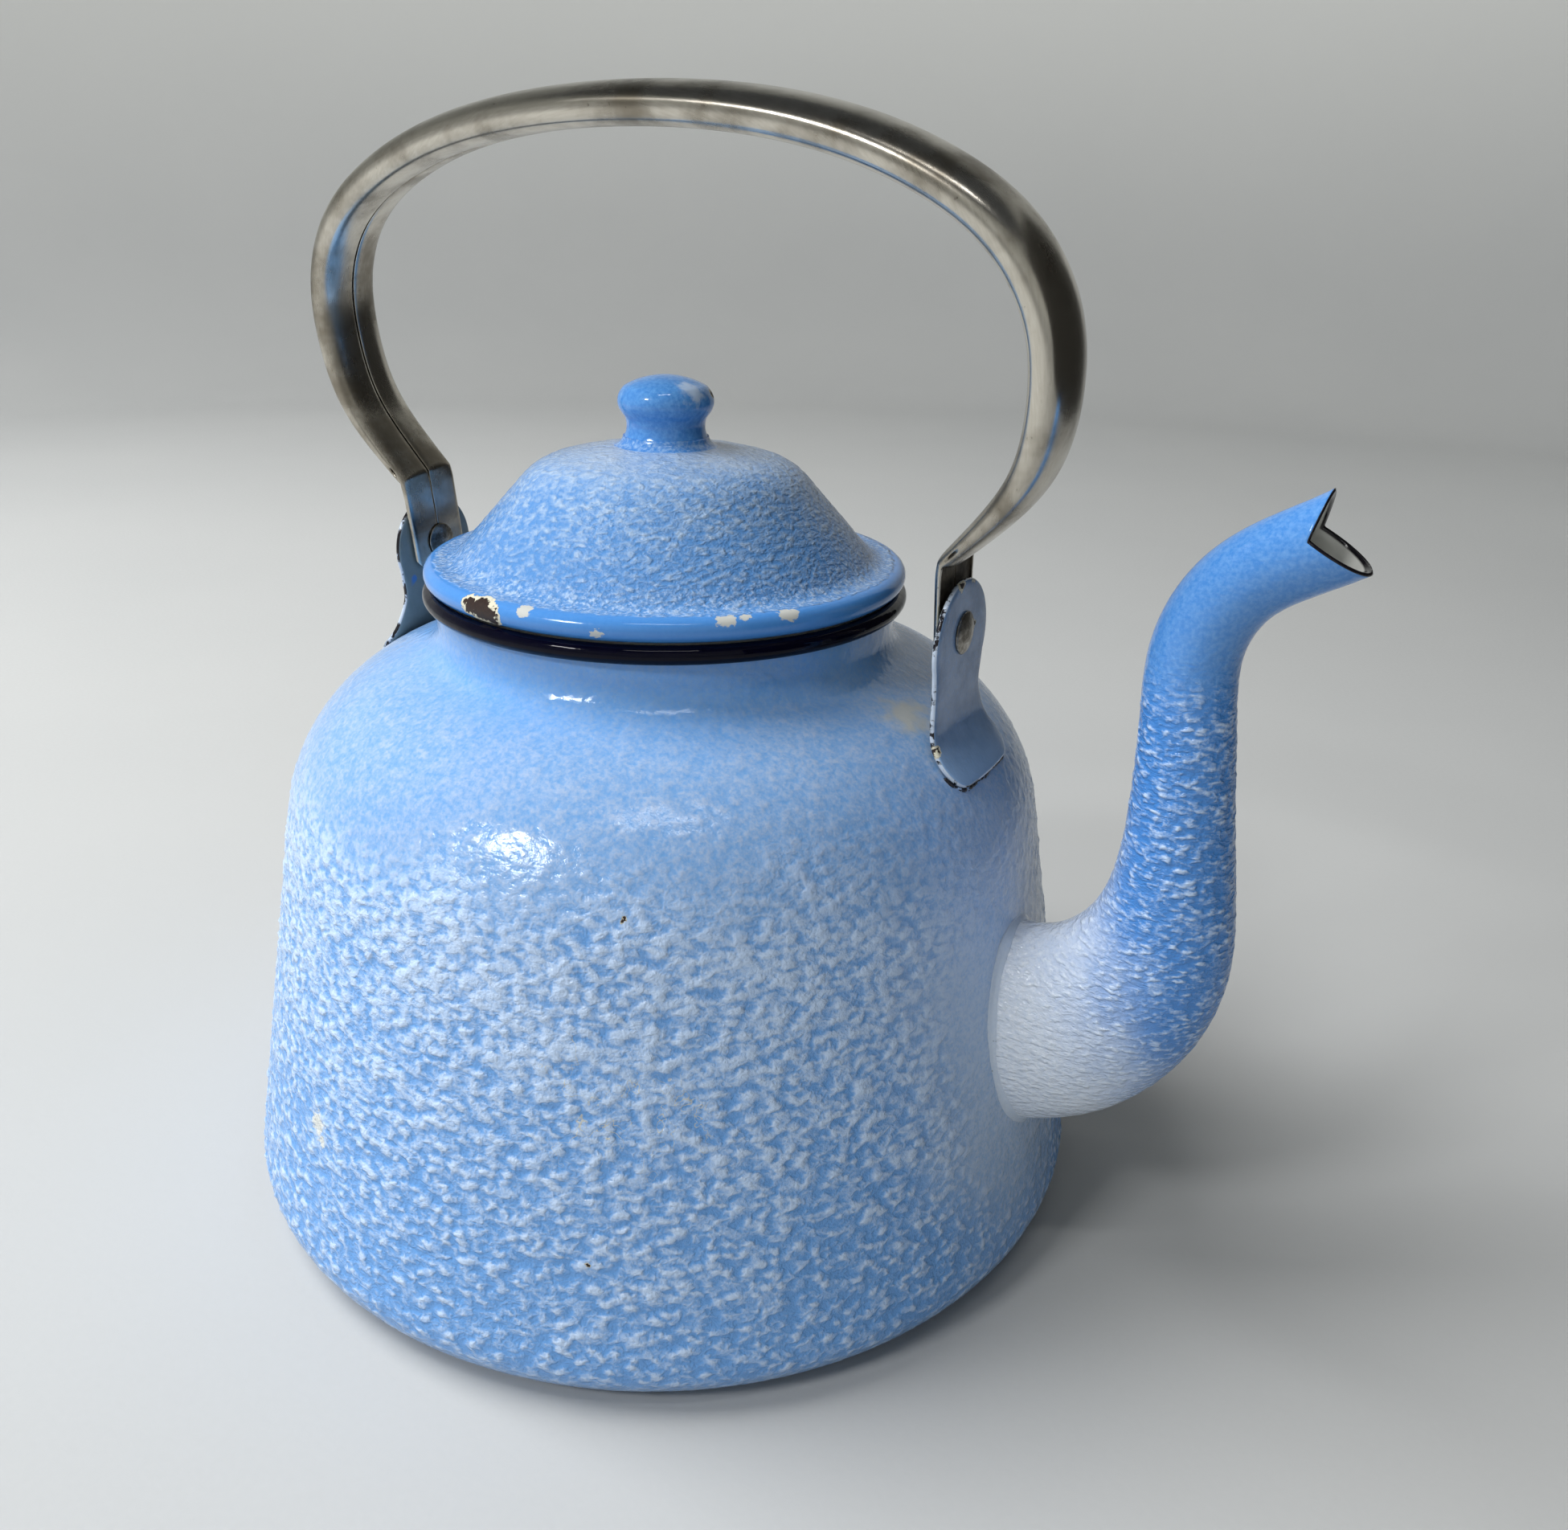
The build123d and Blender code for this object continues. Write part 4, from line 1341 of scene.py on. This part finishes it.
def brushed(g, place):
    """Fine lines that run along the handle: the place as arc length, width and radius."""
    x, y, z = g.parts(place)
    high = z - HANDLE_TURN_Z
    turn = g.math("ARCTAN2", high, x) * HANDLE_ROUND
    radius = g.math("SQRT", x * x + high * high)
    made = g.node("ShaderNodeCombineXYZ")
    return g.filled(made, {0: turn * 0.045, 1: y, 2: radius})


def handle_plating(g):
    place = g.place()
    lines = g.noise(brushed(g, place), 2.2, 3.0, 0.6)
    cross = g.noise(g.vector("MULTIPLY", place, (2.4, 0.35, 2.4)), 0.9, 3.0, 0.6)
    cloud = g.noise(place, 0.05, 4.0, 0.6)
    pits = g.smooth(g.noise(place, 0.8, 3.0, 0.6), 0.68, 0.76)
    bright = g.mix(tint(178, 172, 160), tint(214, 209, 198), lines)
    worn = g.mix(bright, tint(112, 103, 88), g.smooth(cloud, 0.40, 0.66, 0.0, 0.8))
    return {
        "Base Color": g.mix(worn, tint(92, 82, 68), pits * 0.6),
        "Metallic": 1.0,
        "Roughness": g.smooth(cloud, 0.3, 0.75, 0.15, 0.30) + lines * 0.07,
        "Anisotropic": 0.4,
        "relief": lines * 0.010 + cross * 0.006,
    }


def inner_steel_painted_shade(g):
    """The inner face of the handle's sheet: steel painted dark, as painted shade in the hollow of its
    channel.
    """
    place = g.place()
    cloud = g.noise(place, 0.14, 5.0, 0.7)
    return {
        "Base Color": g.mix(tint(52, 46, 38), tint(104, 94, 78), g.smooth(cloud, 0.35, 0.7)),
        "Metallic": 0.75,
        "Roughness": g.smooth(cloud, 0.3, 0.7, 0.62, 0.42),
        "relief": cloud * 0.15,
    }


def rivet_steel(g):
    place = g.place()
    cloud = g.noise(place, 0.5, 4.0, 0.7)
    return {
        "Base Color": g.mix(tint(112, 106, 96), tint(176, 172, 164), g.smooth(cloud, 0.35, 0.7)),
        "Metallic": 1.0,
        "Roughness": g.smooth(cloud, 0.3, 0.7, 0.42, 0.26),
        "relief": cloud * 0.12,
    }


# ---- surroundings
def floor_paint(g):
    place = g.place()
    cloud = g.noise(place, 0.004, 4.0)
    grain = g.noise(place, 0.6, 3.0)
    level = g.mix(tint(188, 190, 190), tint(200, 201, 200), g.blend(cloud, grain, 0.3))
    upright = g.smooth(g.parts(place)[2], 60.0, 700.0)
    return {
        "Base Color": g.mix(level, tint(230, 231, 228), upright),
        "Roughness": g.smooth(grain, 0.3, 0.7, 0.38, 0.5),
        "relief": grain * 0.03,
    }


def card_felt(g):
    """Dark felt of the card that keeps light off the kettle's spout side."""
    nap = g.smooth(g.noise(g.place(), 0.4), 0.3, 0.7, 0.8, 0.95)
    return {"Base Color": tint(38, 37, 35), "Roughness": nap}


COVE_R = 2100.0
COVE_BEND = 600.0
COVE_HIGH = 2600.0
FLOOR_RINGS = (0.0, 300.0, 900.0)
CARD_AT = (0.62, 0.30, 0.0)
CARD_TURN = 26
CARD_LOW, CARD_HIGH, CARD_HALF = 20.0, 900.0, 750.0


def make_floor():
    """A pale floor that curves up, far off and all round, into a plain wall."""
    bend = arc((COVE_R - COVE_BEND, COVE_BEND), COVE_BEND, -90, 0)
    profile = joined([(r, 0.0) for r in FLOOR_RINGS], bend, [(COVE_R, COVE_HIGH)])
    floor = lathe("floor", profile, 96)
    floor.data.materials.append(material("floor_paint", floor_paint))


LIGHT_AIM = (0.0, 0.0, 0.11)


def soft_light(name, angle, height, distance, size, power):
    """An area light at an azimuth and elevation in degrees, aimed at the kettle."""
    data = bpy.data.lights.new(name, "AREA")
    data.shape = "RECTANGLE"
    data.size, data.size_y = size
    data.energy = power
    light = bpy.data.objects.new(name, data)
    bpy.context.scene.collection.objects.link(light)
    across = distance * cos(radians(height))
    place = Vector(polar(across, angle, distance * sin(radians(height))))
    light.location = place + Vector(LIGHT_AIM)
    light.rotation_euler = (-place).to_track_quat("-Z", "Y").to_euler()
    return light


def make_lights():
    soft_light("key", angle=-107.0, height=37.0, distance=1.5, size=(0.30, 0.16), power=6.5)
    sky = soft_light("sky", angle=-158.0, height=50.0, distance=1.7, size=(1.1, 1.1), power=37.0)
    sky.visible_glossy = False
    soft_light("glint", angle=-60.0, height=66.0, distance=1.6, size=(0.6, 0.05), power=1.8)
    card_points = [(0.0, -CARD_HALF, CARD_LOW), (0.0, CARD_HALF, CARD_LOW)]
    card_points += [(0.0, CARD_HALF, CARD_HIGH), (0.0, -CARD_HALF, CARD_HIGH)]
    card = new_piece("dark_card", card_points, [[0, 1, 2, 3]])
    card.data.materials.append(material("dark_card", card_felt))
    card.location = CARD_AT
    card.rotation_euler = (0, 0, radians(CARD_TURN))
    card.visible_camera = False
    world = bpy.data.worlds.new("world")
    bpy.context.scene.world = world
    world.use_nodes = True
    ground = world.node_tree.nodes["Background"]
    ground.inputs["Color"].default_value = (0.86, 0.93, 1.0, 1)
    ground.inputs["Strength"].default_value = 0.07
    bpy.context.scene.view_settings.view_transform = "Standard"


# ---- assembly
def build():
    body_skin = make_body()
    lid_skin = make_lid()
    spout_skin = make_spout()
    raised(body_skin, body_relief)
    raised(lid_skin, lid_relief)
    raised(spout_skin, spout_relief)
    body_nodes = ["body_shell", "base_pan"]
    spout_nodes = ["spout_left_half", "spout_right_half"]
    handle = make_handle()
    # piece, body, CAD nodes it replaces, slot, name and recipe of its material
    rows = (
        (body_skin, "kettle_body", body_nodes, "body_enamel", "body_enamel", body_enamel),
        (make_neck_rim(), "kettle_body", ["neck_bead"], "rim_enamel", "rim_enamel", dark_enamel),
        (lid_skin, "lid", ["lid_shell"], "lid_enamel", "lid_enamel", lid_enamel),
        (make_collar(), "lid", ["lid_collar"], "white_enamel", "white_enamel", lining_enamel),
        (make_knob(), "lid", ["lid_knob"], "knob_enamel", "knob_enamel", knob_enamel),
        (make_knob_fillet(), "lid", ["knob_weld"], "weld_enamel", "knob_filler", knob_filler),
        (spout_skin, "kettle_body", spout_nodes, "spout_enamel", "spout_enamel", spout_enamel),
        (make_spout_fillet(), "kettle_body", ["spout_weld"], "weld_enamel",
         "filler_enamel", filler_enamel),
        (make_ear("front_ear", False), "kettle_body", ["front_lug"], "lug_enamel",
         "front_ear_enamel", ear_enamel(1)),
        (make_ear("rear_ear", True), "kettle_body", ["rear_lug"], "lug_enamel",
         "rear_ear_enamel", ear_enamel(-1)),
        (make_ear_weld("front_ear_weld", False, 3), "kettle_body", ["front_lug_weld"], "weld_enamel",
         "front_ear_filler", ear_filler),
        (make_ear_weld("rear_ear_weld", True, 5), "kettle_body", ["rear_lug_weld"], "weld_enamel",
         "rear_ear_filler", ear_filler),
        (make_rivets(), "kettle_body", ["pivot_rivets"], "rivet_steel", "rivet_steel", rivet_steel),
        (handle, "handle", ["bail_handle"], "handle_plating", None, None),
    )
    for piece, body, nodes, slot, name, recipe in rows:
        if recipe is not None:
            piece.data.materials.append(material(name, recipe))
        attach(piece, body)
        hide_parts(*nodes)


make_floor()
make_lights()
make_camera()
build()
